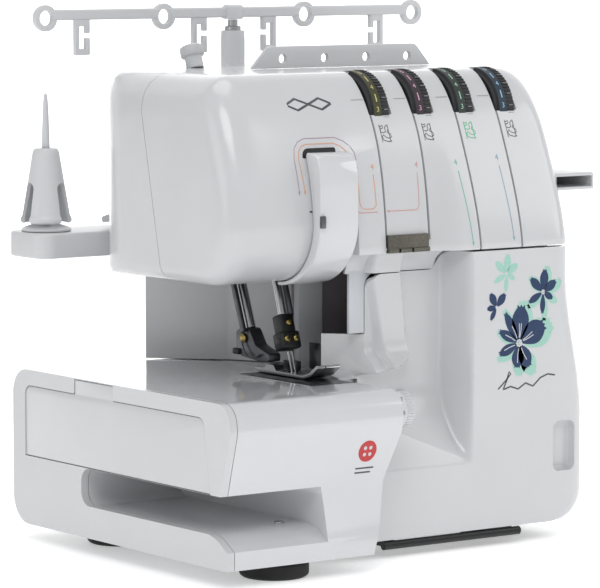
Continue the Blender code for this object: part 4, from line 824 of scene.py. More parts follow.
# Flat closed strip along a line in the xy plane, divided finely enough to bend.
def ribbon(points, width, thick=0.05):
    fine = []
    for a, b in zip(points, points[1:]):
        count = max(1, int((Vector(b) - Vector(a)).length / 1.2))
        fine += [tuple(Vector(a).lerp(Vector(b), k / count)) for k in range(count)]
    fine.append(tuple(points[-1]))
    last = len(fine) - 1

    def place(u, w):
        k = round(u * last)
        run = (Vector(fine[min(k + 1, last)]) - Vector(fine[max(k - 1, 0)])).normalized()
        side = Vector((-run.y, run.x)) * width * (w - 0.5)
        return (fine[k][0] + side.x, fine[k][1] + side.y, 0.0)

    bm = gridSurface(last, 1, place)
    bmesh.ops.solidify(bm, geom=bm.faces, thickness=-thick)
    bmesh.ops.recalc_face_normals(bm, faces=bm.faces)
    return bm


def arrow(x, z, turn):
    bm = prism([(-0.9, 0.0), (0.9, 0.0), (0.0, 2.6)], "Z", 0, 0.05)
    bm.transform(Matrix.Translation((x, z, 0)) @ Matrix.Rotation(turn, 4, "Z"))
    return bm


def moved(bm, x, z, scale=1.0):
    bm.transform(Matrix.Translation((x, z, 0)) @ Matrix.Scale(scale, 4))
    return bm


# Ink drawn at its place on the head's front.
def printed(name, material, parts):
    return piece(name, onHead(merged(*parts)), material, "machine", sharp=60)


# Threading guides: plain lines, arrows and figures that show where each thread runs
uOuter = [(87.2, 228), (86.9, 247), (88.5, 253.5), (92, 257.3), (97, 259.2), (120, 259.2), (126, 257),
          (130.6, 253.6), (133.2, 249.6), (133.8, 245)]
uInner = [(91.4, 228), (90.2, 247), (91.4, 251.5), (94, 254.6), (98, 255.8), (118.5, 255.8), (123.6, 253.8),
          (127.6, 250.0), (129.3, 245)]
printed("guideOuter", purpleInk, [ribbon(uOuter, 0.55), arrow(87.2, 228, math.pi),
                                  moved(lettering("5", 5.2), 133.2, 241)])
printed("guideInner", orangeInk, [ribbon(uInner, 0.55), arrow(91.4, 228, math.pi),
                                  moved(lettering("5", 5.2), 129.2, 241)])
loopOuter = [(129.5, 234), (129.2, 219), (130.0, 215.2), (132.6, 213), (146.4, 213)]
loopInner = [(133.1, 234), (133.2, 219), (134.2, 216.2), (136.6, 215.1), (143.2, 215.1), (145.6, 217),
             (145.4, 236)]
printed("lineOuter", pinkInk, [ribbon(loopOuter, 0.55), arrow(129.5, 234, 0)])
printed("lineInner", orangeInk, [ribbon(loopInner, 0.55), arrow(133.1, 234, 0),
                                 moved(lettering("4", 5.2), 145.2, 240.4)])
turnLine = [(179.3, 236), (178.6, 216.5), (177.6, 213.8), (175.6, 213.1), (155.5, 213.1)]
printed("lineSecond", pinkInk, [ribbon(turnLine, 0.55), arrow(155.5, 213.1, math.pi / 2),
                                moved(lettering("4", 5.2), 179.2, 240.6)])
printed("lineThird", tealInk, [ribbon([(209.4, 236), (210.6, 215), (212.0, 192)], 0.55),
                               arrow(212.0, 192, math.pi), moved(lettering("4", 5.2), 208.8, 241)])
printed("lineFourth", blueInk, [ribbon([(242.6, 238), (243.6, 215), (244.6, 194)], 0.55),
                                arrow(244.6, 194, math.pi), moved(lettering("4", 5.2), 242.0, 243)])
stitchPath = [(-4, 4.6), (-1.6, 5.4), (-1.8, 3.6), (-3.8, 3.2), (-4.4, 1.2), (-2, 0.4), (0, 1.2),
              (-0.2, 3.6), (1, 5.2),
              (2.6, 4.8), (2.6, 2.8), (1, 0.6), (3.6, -0.6), (4, -2.4), (2, -3.4), (-0.6, -2.6),
              (-2.4, -1.0), (-3.8, -2.2), (-2.8, -4.6), (-0.6, -5.2), (1.6, -5.6), (3.8, -5.0)]
for i, colour in enumerate((darkInk, darkInk, greenInk, darkInk)):
    x = dials["first"] + i * dials["pitch"] + 9.2
    printed(f"stitchIcon{i + 1}", colour, [moved(ribbon(stitchPath, 0.6), x, 260.4, 0.9),
                                           moved(ribbon([(-3.0, 5.4), (-2.8, -5.4)], 0.5), x - 1.0, 260.4),
                                           moved(ribbon([(0.6, 5.4), (0.9, -5.4)], 0.5), x + 1.6, 260.4)])
for i in range(4):
    x = dials["first"] + i * dials["pitch"]
    printed(f"dialMark{i + 1}", greyInk, [ribbon([(x - 10.0, 281), (x - 0.8, 281)], 0.55)])
printed("maker", darkInk, [moved(ribbon([(-17, 0), (-9, 3.4), (0, 0), (9, -3.4), (17, 0)], 1.3), 108, 279.4),
                           moved(ribbon([(-17, 0), (-9, -3.4), (0, 0), (9, 3.4), (17, 0)], 1.3), 108,
                                 279.4)])
print("threading guides printed")

# Painted shadow: a black strip round the upper left of the strap, standing for the shade in the gap it stands
# in, and the steel clip
gapOutline = filleted([(93.6, 215, 0), (93.6, 253.4, 5), (119, 253.4, 1), (119, 250, 0), (96, 250, 2),
                       (95.6, 215, 0)], 6)
piece("strapShadow", onHead(prism(gapOutline, "Z", 0, 0.08)), blackAcetal, "machine")
piece("strapClip", roundedBlock((94.2, 35.9, 206.0), (97.4, 39, 213.5), 0.7), darkSteel, "machine")

# Tension dials

dialInks = [ink("dialInkOlive", "#b5b06a", "#cbc68a"), ink("dialInkPink", "#c98bb0", "#dba6c5"),
            ink("dialInkGreen", "#8fb99c", "#a9cdb4"), ink("dialInkBlue", "#86b2d2", "#a3c8e0")]
dialBands = [moulded("dialBandOlive", "#34331a", "#414021", 5, 0.5, 0.01, (0.45, 0.6)),
             moulded("dialBandPlum", "#2c2029", "#372a33", 5, 0.5, 0.01, (0.45, 0.6)),
             moulded("dialBandPine", "#222d29", "#2b3832", 5, 0.5, 0.01, (0.45, 0.6)),
             moulded("dialBandSlate", "#1d2c3a", "#263847", 5, 0.5, 0.01, (0.45, 0.6))]


# Bends a flat plate drawn in xy round an X axis; angle 0 faces the front, pi/2 the top.
def wrapped(bm, x, centreY, centreZ, radius, angle):
    for vert in bm.verts:
        u, v, w = vert.co
        a = angle + v / radius
        r = radius + w
        vert.co = (x + u, centreY - r * math.cos(a), centreZ + r * math.sin(a))
    return bm


for i in range(4):
    low, high = span(f"tension_dial_{i + 1}")
    r = dials["radius"] - 0.55
    bodyName = f"dial_{i + 1}"
    centre = leftMiddle(low, high)
    width = high.x - low.x
    rim = [(0, 0), (r - 3.2, 0), (r - 1.8, 1.4), (r, 1.8), (r, width), (r - 6, width),
           (r - 8, width - 1.2), (0, width - 1.2)]
    wheel = turned(softened(rim, 0.5), centre, (1, 0, 0), 120)
    ridge = roundedBlock((low.x + width * 0.6, -0.42, -0.35), (high.x - 0.25, 0.42, 0.5), 0.25, 2)
    ridge.transform(Matrix.Translation((0, centre.y, centre.z + r)))
    ringed(ridge, centre, (1, 0, 0), 72)
    piece(f"dial{i + 1}", merged(wheel, ridge), charcoalAbs, bodyName,
          (f"tension_dial_{i + 1}",))
    band = turned([(r - 0.5, 0), (r + 0.12, 0), (r + 0.12, width * 0.42), (r - 0.5, width * 0.42)],
                  (low.x + 2.0, centre.y, centre.z), (1, 0, 0), 120)
    piece(f"dialBand{i + 1}", band, dialBands[i], bodyName)
    marks = []
    for k, figure in enumerate("0123456789"):
        a = math.radians(41 + (k - 4) * 31)
        marks.append(wrapped(lettering(figure, 4.6, 0.04), low.x + 4.9, centre.y, centre.z, r + 0.15, a))
        marks.append(wrapped(ribbon([(0, -2.6), (0, 2.6)], 0.8, 0.04), low.x + 4.9, centre.y, centre.z,
                             r + 0.15, a + math.radians(15.5)))
    piece(f"dialFigures{i + 1}", merged(*marks), dialInks[i], bodyName)
    ticks = [wrapped(ribbon([(-1.5, 0), (1.5, 0)], 0.35, 0.04), low.x + 10.8, centre.y, centre.z, r + 0.52,
                     math.radians(41 + k * 15.5)) for k in range(-6, 8)]
    piece(f"dialTicks{i + 1}", merged(*ticks), greyInk, bodyName)
print("dials made")

# Metal thread guide between the first two dials

guideLow, guideHigh = span("needle_thread_guide")
guideSide = filleted([(guideHigh.y, guideHigh.z, 0), (guideLow.y + 1.3, guideHigh.z, 0.6),
                      (guideLow.y + 1.3, guideLow.z + 3.2, 0.8), (guideLow.y, guideLow.z + 2.4, 0.4),
                      (guideLow.y, guideLow.z + 0.6, 0.5), (guideLow.y + 1.0, guideLow.z, 0.4),
                      (guideHigh.y, guideLow.z, 0)], 4)
threadGuide = piece("threadGuide", prism(guideSide, "X", guideLow.x, guideHigh.x), blastedSteel, "machine",
                    ("needle_thread_guide",), modifiers=[bevelStep(0.3)])
carve(threadGuide, merged(roundedBlock((159, 40, 185), (160.6, 46.6, 190.0)),
                          roundedBlock((169, 40, 185), (170.6, 46.6, 190.0))))

# Stitch width dial beside the bed

low, high = span("stitch_width_dial")
centre = leftMiddle(low, high)
r = (high.z - low.z) / 2 - 0.5
width = high.x - low.x
core = turned(softened([(0, 0), (r, 0), (r, width - 0.6), (r - 1.4, width), (r - 4, width - 0.4),
                        (0, width - 1.4)], 0.5),
              centre, (1, 0, 0), 96)
ridge = roundedBlock((low.x + width * 0.5, -0.4, -0.3), (high.x - 1.0, 0.4, 0.48), 0.2, 2)
ridge.transform(Matrix.Translation((0, centre.y, centre.z + r)))
ringed(ridge, centre, (1, 0, 0), 36)
piece("widthDial", merged(core, ridge), whitePp, "width_dial", ("stitch_width_dial",))
figures = [wrapped(lettering(f, 4.0, 0.04), low.x + 3.2, centre.y, centre.z, r + 0.05,
                   math.radians(38 + (k - 1) * 42))
           for k, f in enumerate("6789")]
piece("widthFigures", merged(*figures), darkInk, "width_dial")

# Right side: two small dials, the handwheel and the pocket

for node, bodyName, figure in (("stitch_length_dial", "length_dial", "3"),
                               ("differential_dial", "feed_dial", "1")):
    low, high = span(node)
    foot = leftMiddle(low, high) + Vector((12, 0, 0))
    r = (high.z - low.z) / 2 - 0.5
    face = high.x - foot.x
    knob = turned(softened([(0, -12), (3, -12), (3, 0), (r, 0), (r - 1.2, face - 1), (r - 3, face),
                            (r - 5, face - 0.8), (0, face - 0.8)], 0.6), foot, (1, 0, 0), 80)
    ridge = roundedBlock((foot.x + 1.2, -0.55, -0.5), (foot.x + face - 1.6, 0.55, 0.45), 0.3, 2)
    ridge.transform(Matrix.Translation((0, foot.y, foot.z + r - 0.4)))
    ringed(ridge, foot, (1, 0, 0), 30)
    piece(node.replace("_dial", "Knob"), merged(knob, ridge), whitePp, bodyName, (node,))
    mark = lettering(figure, 5.5)
    mark.transform(Matrix.Translation((foot.x + face - 0.78, foot.y, foot.z))
                   @ Matrix.Rotation(math.pi / 2, 4, "Z")
                   @ Matrix.Rotation(math.pi / 2, 4, "X"))
    piece(node.replace("_dial", "Figure"), mark, darkInk, bodyName)

low, high = span("handwheel")
foot = leftMiddle(low, high)
r, width = (high.z - low.z) / 2 - 0.6, high.x - low.x
rimShape = [(0, 0), (r - 3, 0), (r, 3), (r, width - 6), (r - 5, width), (r - 14, width - 0.5),
            (r - 17, width - 3), (9, width - 3), (7, width - 1.5), (0, width - 1.5)]
rim = turned(softened(rimShape, 1.4, 4), foot, (1, 0, 0), 128)
ridge = roundedBlock((foot.x + 4, -0.9, -0.8), (foot.x + width - 6.5, 0.9, 0.55), 0.5, 3)
ridge.transform(Matrix.Translation((0, foot.y, foot.z + r)))
ringed(ridge, foot, (1, 0, 0), 60)
piece("wheel", merged(rim, ridge), whitePp, "drive", ("handwheel",))

low, high = span("accessory_pocket")
pocket = piece("pocket", roundedBlock(low, high, 1.6, 4), whitePp, "machine",
               ("accessory_pocket",))
carve(pocket, roundedBlock((low.x + 3.7, low.y - 9, low.z + 2), (high.x - 2.5, high.y - 3, high.z - 2), 0.6))
print("side fittings made")

# Stand, mast, pins, cones, thread tree and guide plate

standLow, standHigh = span("spool_stand")
mast = dict(x=(standLow.x + standHigh.x) / 2, y=256.0)
standRear, standWall = 233.5, 3.0
plan = [(standLow.x, standRear, 12), (standHigh.x, standRear, 12), (standHigh.x, standHigh.y, 14),
        (standLow.x, standHigh.y, 14)]
stand = piece("stand", prism(filleted(plan, 14), "Z", standLow.z, standHigh.z), whitePp, "machine",
              ("spool_stand",), modifiers=[bevelStep(1.6, 4, 50)])
inner = [(standLow.x + standWall, standRear + standWall, 9),
         (standHigh.x - standWall, standRear + standWall, 9),
         (standHigh.x - standWall, standHigh.y - standWall, 11),
         (standLow.x + standWall, standHigh.y - standWall, 11)]
carve(stand, prism(filleted(inner, 8), "Z", standLow.z - 9, standHigh.z - standWall))
piece("standBracket", roundedBlock((mast["x"] - 30, standLow.y, standLow.z),
                         (mast["x"] + 30, 236, standHigh.z - 1), 0.8),
      whitePp, "machine")
low, high = span("mast_tower")
tower = [(5.7, 0.0), (8.0, 0.0), (8.0, high.z - low.z - 5), (7.6, high.z - low.z), (5.7, high.z - low.z)]
piece("tower", turned(tower, (mast["x"], mast["y"], low.z), steps=72), whitePp, "machine",
      ("mast_tower",))
low, high = span("mast_lower_tube")
piece("lowerTube", turned([(3.7, 0), (5.4, 0), (5.4, high.z - low.z - 0.5), (4.9, high.z - low.z),
                           (3.7, high.z - low.z)],
                          (mast["x"], mast["y"], low.z), steps=56), nickelSteel, "mast_middle",
      ("mast_lower_tube",))
low, high = span("mast_upper_rod")
piece("upperRod", turned([(0, 0), (3.4, 0), (3.4, high.z - low.z), (0, high.z - low.z)],
                         (mast["x"], mast["y"], low.z),
                         steps=48), nickelSteel, "mast_top", ("mast_upper_rod",))
for i in range(4):
    low, high = span(f"spool_pin_{i + 1}")
    x = (low.x + high.x) / 2
    pin = [(0, 0), (16, 0), (16, 1.6), (14, 2.8), (9, 4.2), (5, 5.2), (3.4, 8), (3.0, 14), (2.5, 60),
           (1.8, 80), (1.2, 86.5), (0.6, 88), (0, 88)]
    piece(f"pin{i + 1}", turned(softened(pin, 0.9), (x, mast["y"], low.z), steps=64), whitePp, "machine",
          (f"spool_pin_{i + 1}",))
    low, high = span(f"spool_cone_{i + 1}")
    cone = [(4.6, 0), (15, 0), (16.5, 1.2), (16.5, 3), (15.2, 5.5), (8.6, 45.5), (7.6, 47.6), (6.2, 48),
            (3.8, 48)]
    body = piece(f"cone{i + 1}", turned(softened(cone, 0.7), (x, mast["y"], low.z), steps=96), whitePp,
                 f"cone_{i + 1}", (f"spool_cone_{i + 1}",))
    bore = turned([(0, -2), (13.6, -2), (13.6, 4), (6.2, 40), (0, 40)], (x, mast["y"], low.z), steps=64)
    carve(body, bore)
    arches = []
    for k in range(3):
        window = filleted([(-6.2, -4, 0), (6.2, -4, 0), (4.6, 26, 4.4), (-4.6, 26, 4.4)], 6)
        arch = prism(window, "Y", -30, -5)
        spin = Matrix.Rotation(math.tau * k / 3 + 0.45, 4, "Z")
        arch.transform(Matrix.Translation((x, mast["y"], low.z)) @ spin)
        arches.append(arch)
    for arch in arches:
        carve(body, arch)

treeLow = span("thread_tree")[1].z - 11.0
treeBar = piece("treeBar", roundedBlock((37, 253.5, treeLow + 1), (327, 258.5, treeLow + 7.9), 1.1, 3),
                whitePp, "mast_top", ("thread_tree",))
eyes = [35.5, 126.0, 238.5, 328.5]
hooks = [63.0, 154.0, 209.5, 298.5]
parts = [turned(softened([(0, 0), (7, 0), (7, 8.4), (5.6, 9.5), (0, 9.5)], 1.0),
                (mast["x"], mast["y"], treeLow), steps=48)]
for x in eyes:
    ring = softened([(5.0, -2.0), (8.5, -2.0), (8.5, 2.0), (5.0, 2.0)], 0.8)
    parts.append(turned(ring, (x, mast["y"], treeLow + 2.5), (0, 1, 0), 48))
for k, x in enumerate(hooks):
    opening = 1 if k < 2 else -1
    outline = [(-5.5, 3.0), (-5.5, -21.5), (5.5, -21.5), (5.5, -10.5), (2.4, -10.5), (2.4, -17.5),
               (-2.4, -17.5), (-2.4, -3.0), (2.4, -3.0), (2.4, -7.5), (5.5, -7.5), (5.5, 3.0)]
    hook = prism([(x + u * opening, treeLow + v) for u, v in outline][::opening], "Y", mast["y"] - 1.8,
                 mast["y"] + 1.8)
    bmesh.ops.bevel(hook, geom=hook.edges[:], offset=0.45, segments=2, affect="EDGES", profile=0.5,
                    material=-1)
    parts.append(hook)
piece("treeFittings", merged(*parts), whitePp, "mast_top")
for x in eyes:
    through = [(0, -9), (5.2, -9), (5.2, 9), (0, 9)]
    carve(treeBar, turned(through, (x, mast["y"], treeLow + 2.5), (0, 1, 0), 40))

low, high = span("thread_guide_plate")
outline = filleted([(low.x, low.z, 0), (low.x + 13, high.z, 6), (high.x - 12, high.z, 6),
                    (high.x, low.z, 0)], 8)
guidePlate = piece("guidePlate", prism(outline, "Y", low.y, high.y), whitePp, "machine",
                   ("thread_guide_plate",), modifiers=[bevelStep(0.5)])
carve(guidePlate, merged(*[turned([(0, -9), (3, -9), (3, 9), (0, 9)], (150 + 33 * i, 157, low.z + 6),
                                  (0, 1, 0), 40)
                           for i in range(4)]))
print("stand and tree made")

# Pressure knob, needle bars, clamp, ankle, foot and plate

knobShape = softened([(0, 0), (5.6, 0), (5.6, 7.6), (7.3, 8.2), (7.3, 14.2), (6.4, 15.3), (0, 15.3)], 0.6)
knob = turned(knobShape, (0, 0, 0), steps=80)
ridge = roundedBlock((-0.35, 7.0, 8.6), (0.35, 7.65, 14.4), 0.2, 2)
knob = merged(knob, ringed(ridge, (0, 0, 0), (0, 0, 1), 40))

bars = dict(needleX=115.0, needleY=95.0, needleLean=math.radians(17.8), needleFoot=146.0, clampFoot=124.9,
            needleTip=106.9, presserX=112.5, presserY=127.5, presserLean=math.radians(20.8),
            presserFoot=135.6, knobFoot=297.0)


# Stands a shape drawn upright at the origin on a bar's leaning line, at a height.
def alongBar(bm, footY, lean, z, x):
    y = footY + (z - bed["top"]) * math.tan(lean)
    bm.transform(Matrix.Translation((x, y, z)) @ Matrix.Rotation(-lean, 4, "X"))
    return bm


def onNeedleBar(bm, z, side=0.0, forward=0.0):
    return alongBar(bm, bars["needleY"] - forward, bars["needleLean"], z, bars["needleX"] + side)


def onPresserBar(bm, z):
    return alongBar(bm, bars["presserY"], bars["presserLean"], z, bars["presserX"])


piece("knob", onPresserBar(knob, bars["knobFoot"]), whitePp, "pressure_screw",
      ("pressure_knob",))
barShape = [(0, 0), (2.3, 0), (2.8, 0.5), (2.8, 121.0), (2.4, 121.5), (0, 121.5)]
piece("needleBar", onNeedleBar(turned(barShape, (0, 0, 0), steps=48), bars["needleFoot"]),
      nickelSteel, "needle_assembly", ("needle_bar",))
barShape = [(0, 0), (2.8, 0), (3.3, 0.5), (3.3, 150.0), (3.0, 150.5), (0, 150.5)]
piece("presserBar", onPresserBar(turned(barShape, (0, 0, 0), steps=48), bars["presserFoot"]),
      nickelSteel, "presser_assembly", ("presser_bar",))
guards = dict(
    needleGuard=("needle_assembly", 30, (bars["needleY"] - 1, bars["needleLean"], bars["needleFoot"], 120.6)),
    presserGuard=("presser_assembly", 40, (bars["presserY"] - 1, bars["presserLean"], 134.0, 105.9)),
)
for name, (rider, length, spot) in guards.items():
    rod = turned([(0, 0), (1.7, 0), (2.0, 0.4), (2.0, length), (0, length)], (0, 0, 0), steps=40)
    piece(name, alongBar(rod, *spot), darkSteel, rider)
clamp = merged(roundedBlock((-7.6, -6.4, 0.4), (6.4, 4.4, 11.5), 1.6, 3),
               roundedBlock((-5.6, -5.2, 10), (4.8, 4.2, 22.8), 1.3, 3),
               roundedBlock((-8.0, -4.6, 3.0), (7.0, 1.8, 8.2), 0.8, 2))
piece("clamp", onNeedleBar(clamp, bars["clampFoot"]), blackAcetal, "needle_assembly",
      ("needle_clamp",))
screws = []
lowScrews = ((-4.0, 6.6), (2.6, 6.6))
for dx, dz, r in [(*spot, 2.3) for spot in lowScrews] + [(-0.2, 17.0, 2.1)]:
    screw = turned(softened([(0, 0), (r, 0), (r, 1.3), (r * 0.6, 2.0), (0, 2.1)], 0.4),
                   (dx, -6.0 if dz < 10 else -5.0, dz), (0, -1, 0), 40)
    screws.append(screw)
piece("clampScrews", onNeedleBar(merged(*screws), bars["clampFoot"]), brassScrew,
      "needle_assembly")
# Painted shade: thin black crosses laid on the screw heads stand for the shade in their slots
slotShadeMarks = [roundedBlock((dx - 1.5, -8.3, dz - 0.28), (dx + 1.5, -7.6, dz + 0.28)) for dx, dz in lowScrews]
slotShadeMarks += [roundedBlock((dx - 0.28, -8.3, dz - 1.5), (dx + 0.28, -7.6, dz + 1.5)) for dx, dz in lowScrews]
piece("clampSlotShade", onNeedleBar(merged(*slotShadeMarks), bars["clampFoot"]), blackAcetal,
      "needle_assembly")
for name, dx in (("needle_left", -1.3), ("needle_right", 1.3)):
    needle = [(0, 0), (0.12, 0.4), (0.45, 4.2), (0.5, 10.6), (0.62, 12.0), (0.95, 13.6), (0.95, 18.4),
              (0, 18.4)]
    piece(name.replace("_l", "L").replace("_r", "R"),
          onNeedleBar(turned(needle, (0, 0, 0), steps=24), bars["needleTip"], dx, 1.0),
          nickelSteel, "needle_assembly", (name,))

# Curved strap of the ankle, its screw, release button and spring
top = bed["top"]
ankleSide = filleted([(112.5, top + 7.5, 1.5), (123, top + 7.0, 3), (143, top + 9.0, 4), (148, top + 13, 2),
                      (148, top + 24, 2), (143, top + 27, 3), (134, top + 27, 4), (127, top + 17, 5),
                      (112.5, top + 12.5, 1.5)], 8)
piece("ankle", prism(ankleSide, "X", 108.3, 117.7), darkSteel, "presser_assembly",
      ("presser_ankle",), modifiers=[bevelStep(0.6, 3, 50)])
ankleScrew = turned(softened([(0, 0), (3.0, 0), (3.0, 1.2), (1.8, 1.9), (0, 2.0)], 0.4),
                    (107.9, 138.5, top + 20.5), (-1, 0, 0), 40)
piece("ankleScrew", ankleScrew, brassScrew, "presser_assembly")
spring = wire([(107.3, 141, top + 25), (106.2, 137, top + 15), (106.0, 131, top + 9.5),
               (106.2, 124, top + 10), (106.8, 119, top + 12)], 0.55, 10)
piece("ankleSpring", spring, darkSteel, "presser_assembly")
piece("releaseButton", roundedBlock((106.8, 143.2, top + 9.6), (119.2, 150.2, top + 13.4), 0.9, 3),
      blackAcetal, "presser_assembly")
footSide = filleted([(58.5, top + 8.8, 0.6), (66, top + 3.2, 6), (74, top + 0.9, 8), (121, top + 0.9, 2),
                     (127, top + 2.4, 0.6), (127, top + 3.8, 0.6), (116, top + 4.2, 2),
                     (112, top + 6.6, 0.8),
                     (106, top + 6.6, 0.8), (103, top + 3.2, 1.5), (75, top + 2.8, 8), (68, top + 5.0, 5),
                     (60, top + 10.4, 0.6)], 8)
footSole = piece("footSole", prism(footSide, "X", 107.2, 124.8), nickelSteel, "foot",
                 ("presser_foot",), modifiers=[bevelStep(0.3, 3, 50)])
carve(footSole, roundedBlock((112.2, 84, top - 5), (117.8, 102, top + 20), 0.0))
carve(footSole, roundedBlock((112.9, 50, top - 5), (114.0, 78, top + 20), 0.0))
piece("footPin", turned([(0, 0), (1.3, 0), (1.3, 15.0), (0, 15.0)], (108.5, 109, top + 5.6), (1, 0, 0),
                        32), darkSteel, "foot")
piece("footBlock", merged(roundedBlock((119.2, 100, top + 3.0), (124.6, 112, top + 8.4), 0.6, 2),
                          turned(softened([(0, 0), (1.8, 0), (1.8, 0.9), (0, 1.2)], 0.3),
                                 (122, 106, top + 8.2), steps=32)),
      darkSteel, "foot")

plate = piece("plate", roundedBlock(plateLow, plateHigh, 0.0), groundSteel, "machine",
              ("needle_plate",), modifiers=[bevelStep(0.25)])
carve(plate, merged(roundedBlock((105.5, 77.5, 97), (111.5, 122.5, 119)),
                    roundedBlock((112.4, 86, 97), (117.6, 101.5, 119))))
feedLow, feedHigh = span("feed_dog")
dog = piece("feedTeeth", roundedBlock((feedLow.x, 78.0, feedLow.z + 0.5), (feedHigh.x, 118.0, feedHigh.z),
                                      0.0), darkSteel, "feed")
carve(dog, merged(*[prism([(79 + 1.6 * k, feedHigh.z + 0.2), (80.5 + 1.6 * k, feedHigh.z + 0.2),
                           (79.2 + 1.6 * k, feedHigh.z - 0.9)],
                          "X", feedLow.x - 1, feedHigh.x + 1) for k in range(24)]))
piece("feedBar", roundedBlock((feedLow.x, feedLow.y, feedLow.z), (feedHigh.x, feedHigh.y, feedLow.z + 8.0),
                              0.4, 2), nickelSteel,
      "feed", ("feed_dog",))
low, high = span("upper_knife")
piece("knife", prism([(low.y, low.z), (high.y, low.z + 2.5), (high.y, high.z), (low.y, high.z)], "X",
                     low.x, high.x), groundSteel,
      "knife", ("upper_knife",), modifiers=[bevelStep(0.15)])

# Feet

for node in ("foot_front_left", "foot_front_right", "foot_rear_left", "foot_rear_right"):
    low, high = span(node)
    r = (high.x - low.x) / 2
    shape = softened([(0, 0), (r - 2.5, 0), (r, 1.8), (r, high.z - 2.5), (r - 3, high.z), (0, high.z)],
                     1.2, 4)
    piece(node.replace("_f", "F").replace("_r", "R").replace("_l", "L"),
          turned(shape, ((low.x + high.x) / 2, (low.y + high.y) / 2, 0), steps=72), blackRubber, "machine",
          (node,))
print("needle area and feet made")

# Prints on the looper cover


def onDoor(bm, lift=0.03):
    for vert in bm.verts:
        x, z, w = vert.co
        vert.co = (x, door["front"] - lift - w, z)
    return bm


def thinDisc(radius, thick, place, steps):
    return turned([(0, 0), (radius, 0), (radius, thick), (0, thick)], place, steps=steps)


# Petal outline with a notched tip, from the middle outwards along y.
def petal(length, width, notch=0.12):
    right = []
    for k in range(1, 10):
        t = k / 10
        right.append((width * math.sin(math.pi * t**1.25) ** 0.8 / 2, length * t))
    tip = [(width * 0.22, length * 0.985), (width * 0.08, length * (1 - notch * 0.6)), (0, length * 0.99),
           (-width * 0.08, length * (1 - notch * 0.6)), (-width * 0.22, length * 0.985)]
    return [(0.0, length * 0.1)] + right + tip + [(-u, v) for u, v in reversed(right)]


def flower(x, z, size, turns, thick, grow=1.0):
    parts = []
    for angle, length, width in turns:
        bm = prism(petal(size * length * grow, size * width * grow), "Z", 0.0, thick)
        bm.transform(Matrix.Translation((x, z, 0)) @ Matrix.Rotation(math.radians(angle), 4, "Z"))
        parts.append(bm)
    return parts


bigFlower = (248.6, 126.6)
smallFlower = (267.8, 157.8)
bigTurns = [(-4, 1.0, 0.56), (-62, 0.98, 0.62), (-152, 0.74, 0.42), (-186, 0.66, 0.40), (112, 0.72, 0.28),
            (62, 0.76, 0.26), (30, 0.96, 0.26)]
smallTurns = [(-6, 1.0, 0.46), (-58, 0.85, 0.42), (-120, 0.62, 0.30), (178, 0.95, 0.28), (118, 0.9, 0.32),
              (48, 0.95, 0.40)]
budTurns = [(-40, 1.0, 0.5), (28, 0.95, 0.5), (95, 0.7, 0.36), (150, 0.85, 0.32)]
prints = [("flowerShadow", mintInk, flower(250.4, 124.6, 26, bigTurns, 0.04, 1.14)
           + flower(269.5, 156.4, 16, smallTurns, 0.04, 1.16) + flower(238.2, 171.0, 12.5, smallTurns,
                                                                       0.04)),
          ("flowerNavy", navyInk, flower(*bigFlower, 24.5, bigTurns, 0.08) + flower(*smallFlower, 14.8,
                                                                                    smallTurns, 0.08)
           + flower(230.3, 150.2, 11.0, budTurns, 0.08))]
veins = []
for angle in (0, -8, -58, -68, 28, 62, 108, -150, -186):
    vein = ribbon([(0, 3.5), (0.3, 7.5), (0, 12.5)], 0.55, 0.03)
    vein.transform(Matrix.Translation((*bigFlower, 0.08)) @ Matrix.Rotation(math.radians(angle), 4, "Z"))
    veins.append(vein)
for k in range(8):
    a = math.tau * k / 8
    r = 1.9 if k else 0.0
    dot = thinDisc(0.72, 0.12, (bigFlower[0] + r * math.cos(a), bigFlower[1] + r * math.sin(a), 0.06), 16)
    veins.append(dot)
    dot = thinDisc(0.5, 0.12, (smallFlower[0] + r * 0.6 * math.cos(a),
                               smallFlower[1] + r * 0.6 * math.sin(a), 0.06), 16)
    veins.append(dot)
prints.append(("flowerVeins", innerAbs, veins))
flourish = [(236, 98.5), (242, 103.5), (246, 107.5), (244.6, 109), (243, 104), (240, 98), (246, 99.6),
            (252, 97.6), (258, 101), (264, 98.6), (270, 103.5), (276, 105.5), (282, 104.4)]
prints.append(("flourish", darkInk, [ribbon([(a - 4, b) for a, b in flourish], 1.0, 0.05)]))
for name, colour, parts in prints:
    piece(name, onDoor(merged(*parts)), colour, "looper_door", sharp=60)

# Generic round label on the bed's front: a disc with four holes, like a button


def bedFaceY(z):
    return 8.0 + (bed["front"] - 8.0) * (z - bed["slotHigh"]) / (92.0 - bed["slotHigh"])


def onBed(bm, lift=0.03):
    for vert in bm.verts:
        x, z, w = vert.co
        vert.co = (x, bedFaceY(z) - lift - w, z)
    return bm


label = dict(x=103.5, z=74.0)
piece("labelDisc", onBed(thinDisc(6.6, 0.08, (label["x"], label["z"], 0), 64)), redInk, "machine")
holes = [thinDisc(1.15, 0.05, (label["x"] + u, label["z"] + v, 0.09), 24)
         for u in (-2, 2) for v in (-2, 2)]
piece("labelHoles", onBed(merged(*holes)), innerAbs, "machine")
piece("labelLines", onBed(merged(ribbon([(96.5, 63.5), (110, 63.5)], 1.0),
                                 ribbon([(96.5, 60.8), (108, 60.8)], 1.0))), darkInk,
      "machine")
print("prints made")

# Materials of the parts that keep their CAD shape

carried = dict(
    base_plate=castAlloy, frame_casting=castAlloy, lower_knife=groundSteel, upper_looper=nickelSteel,
    lower_looper=nickelSteel, looper_hinge_rail=blackAcetal, main_shaft=nickelSteel, motor=darkSteel,
    motor_pulley=blackAcetal, drive_belt=blackRubber, power_inlet=blackAcetal, power_switch=blackAcetal,
    presser_lifter=whitePp,
)
for node, material in carried.items():
    mesh = frame["nodes"][node].data
    mesh.materials.clear()
    mesh.materials.append(material)

# Floor, light and camera

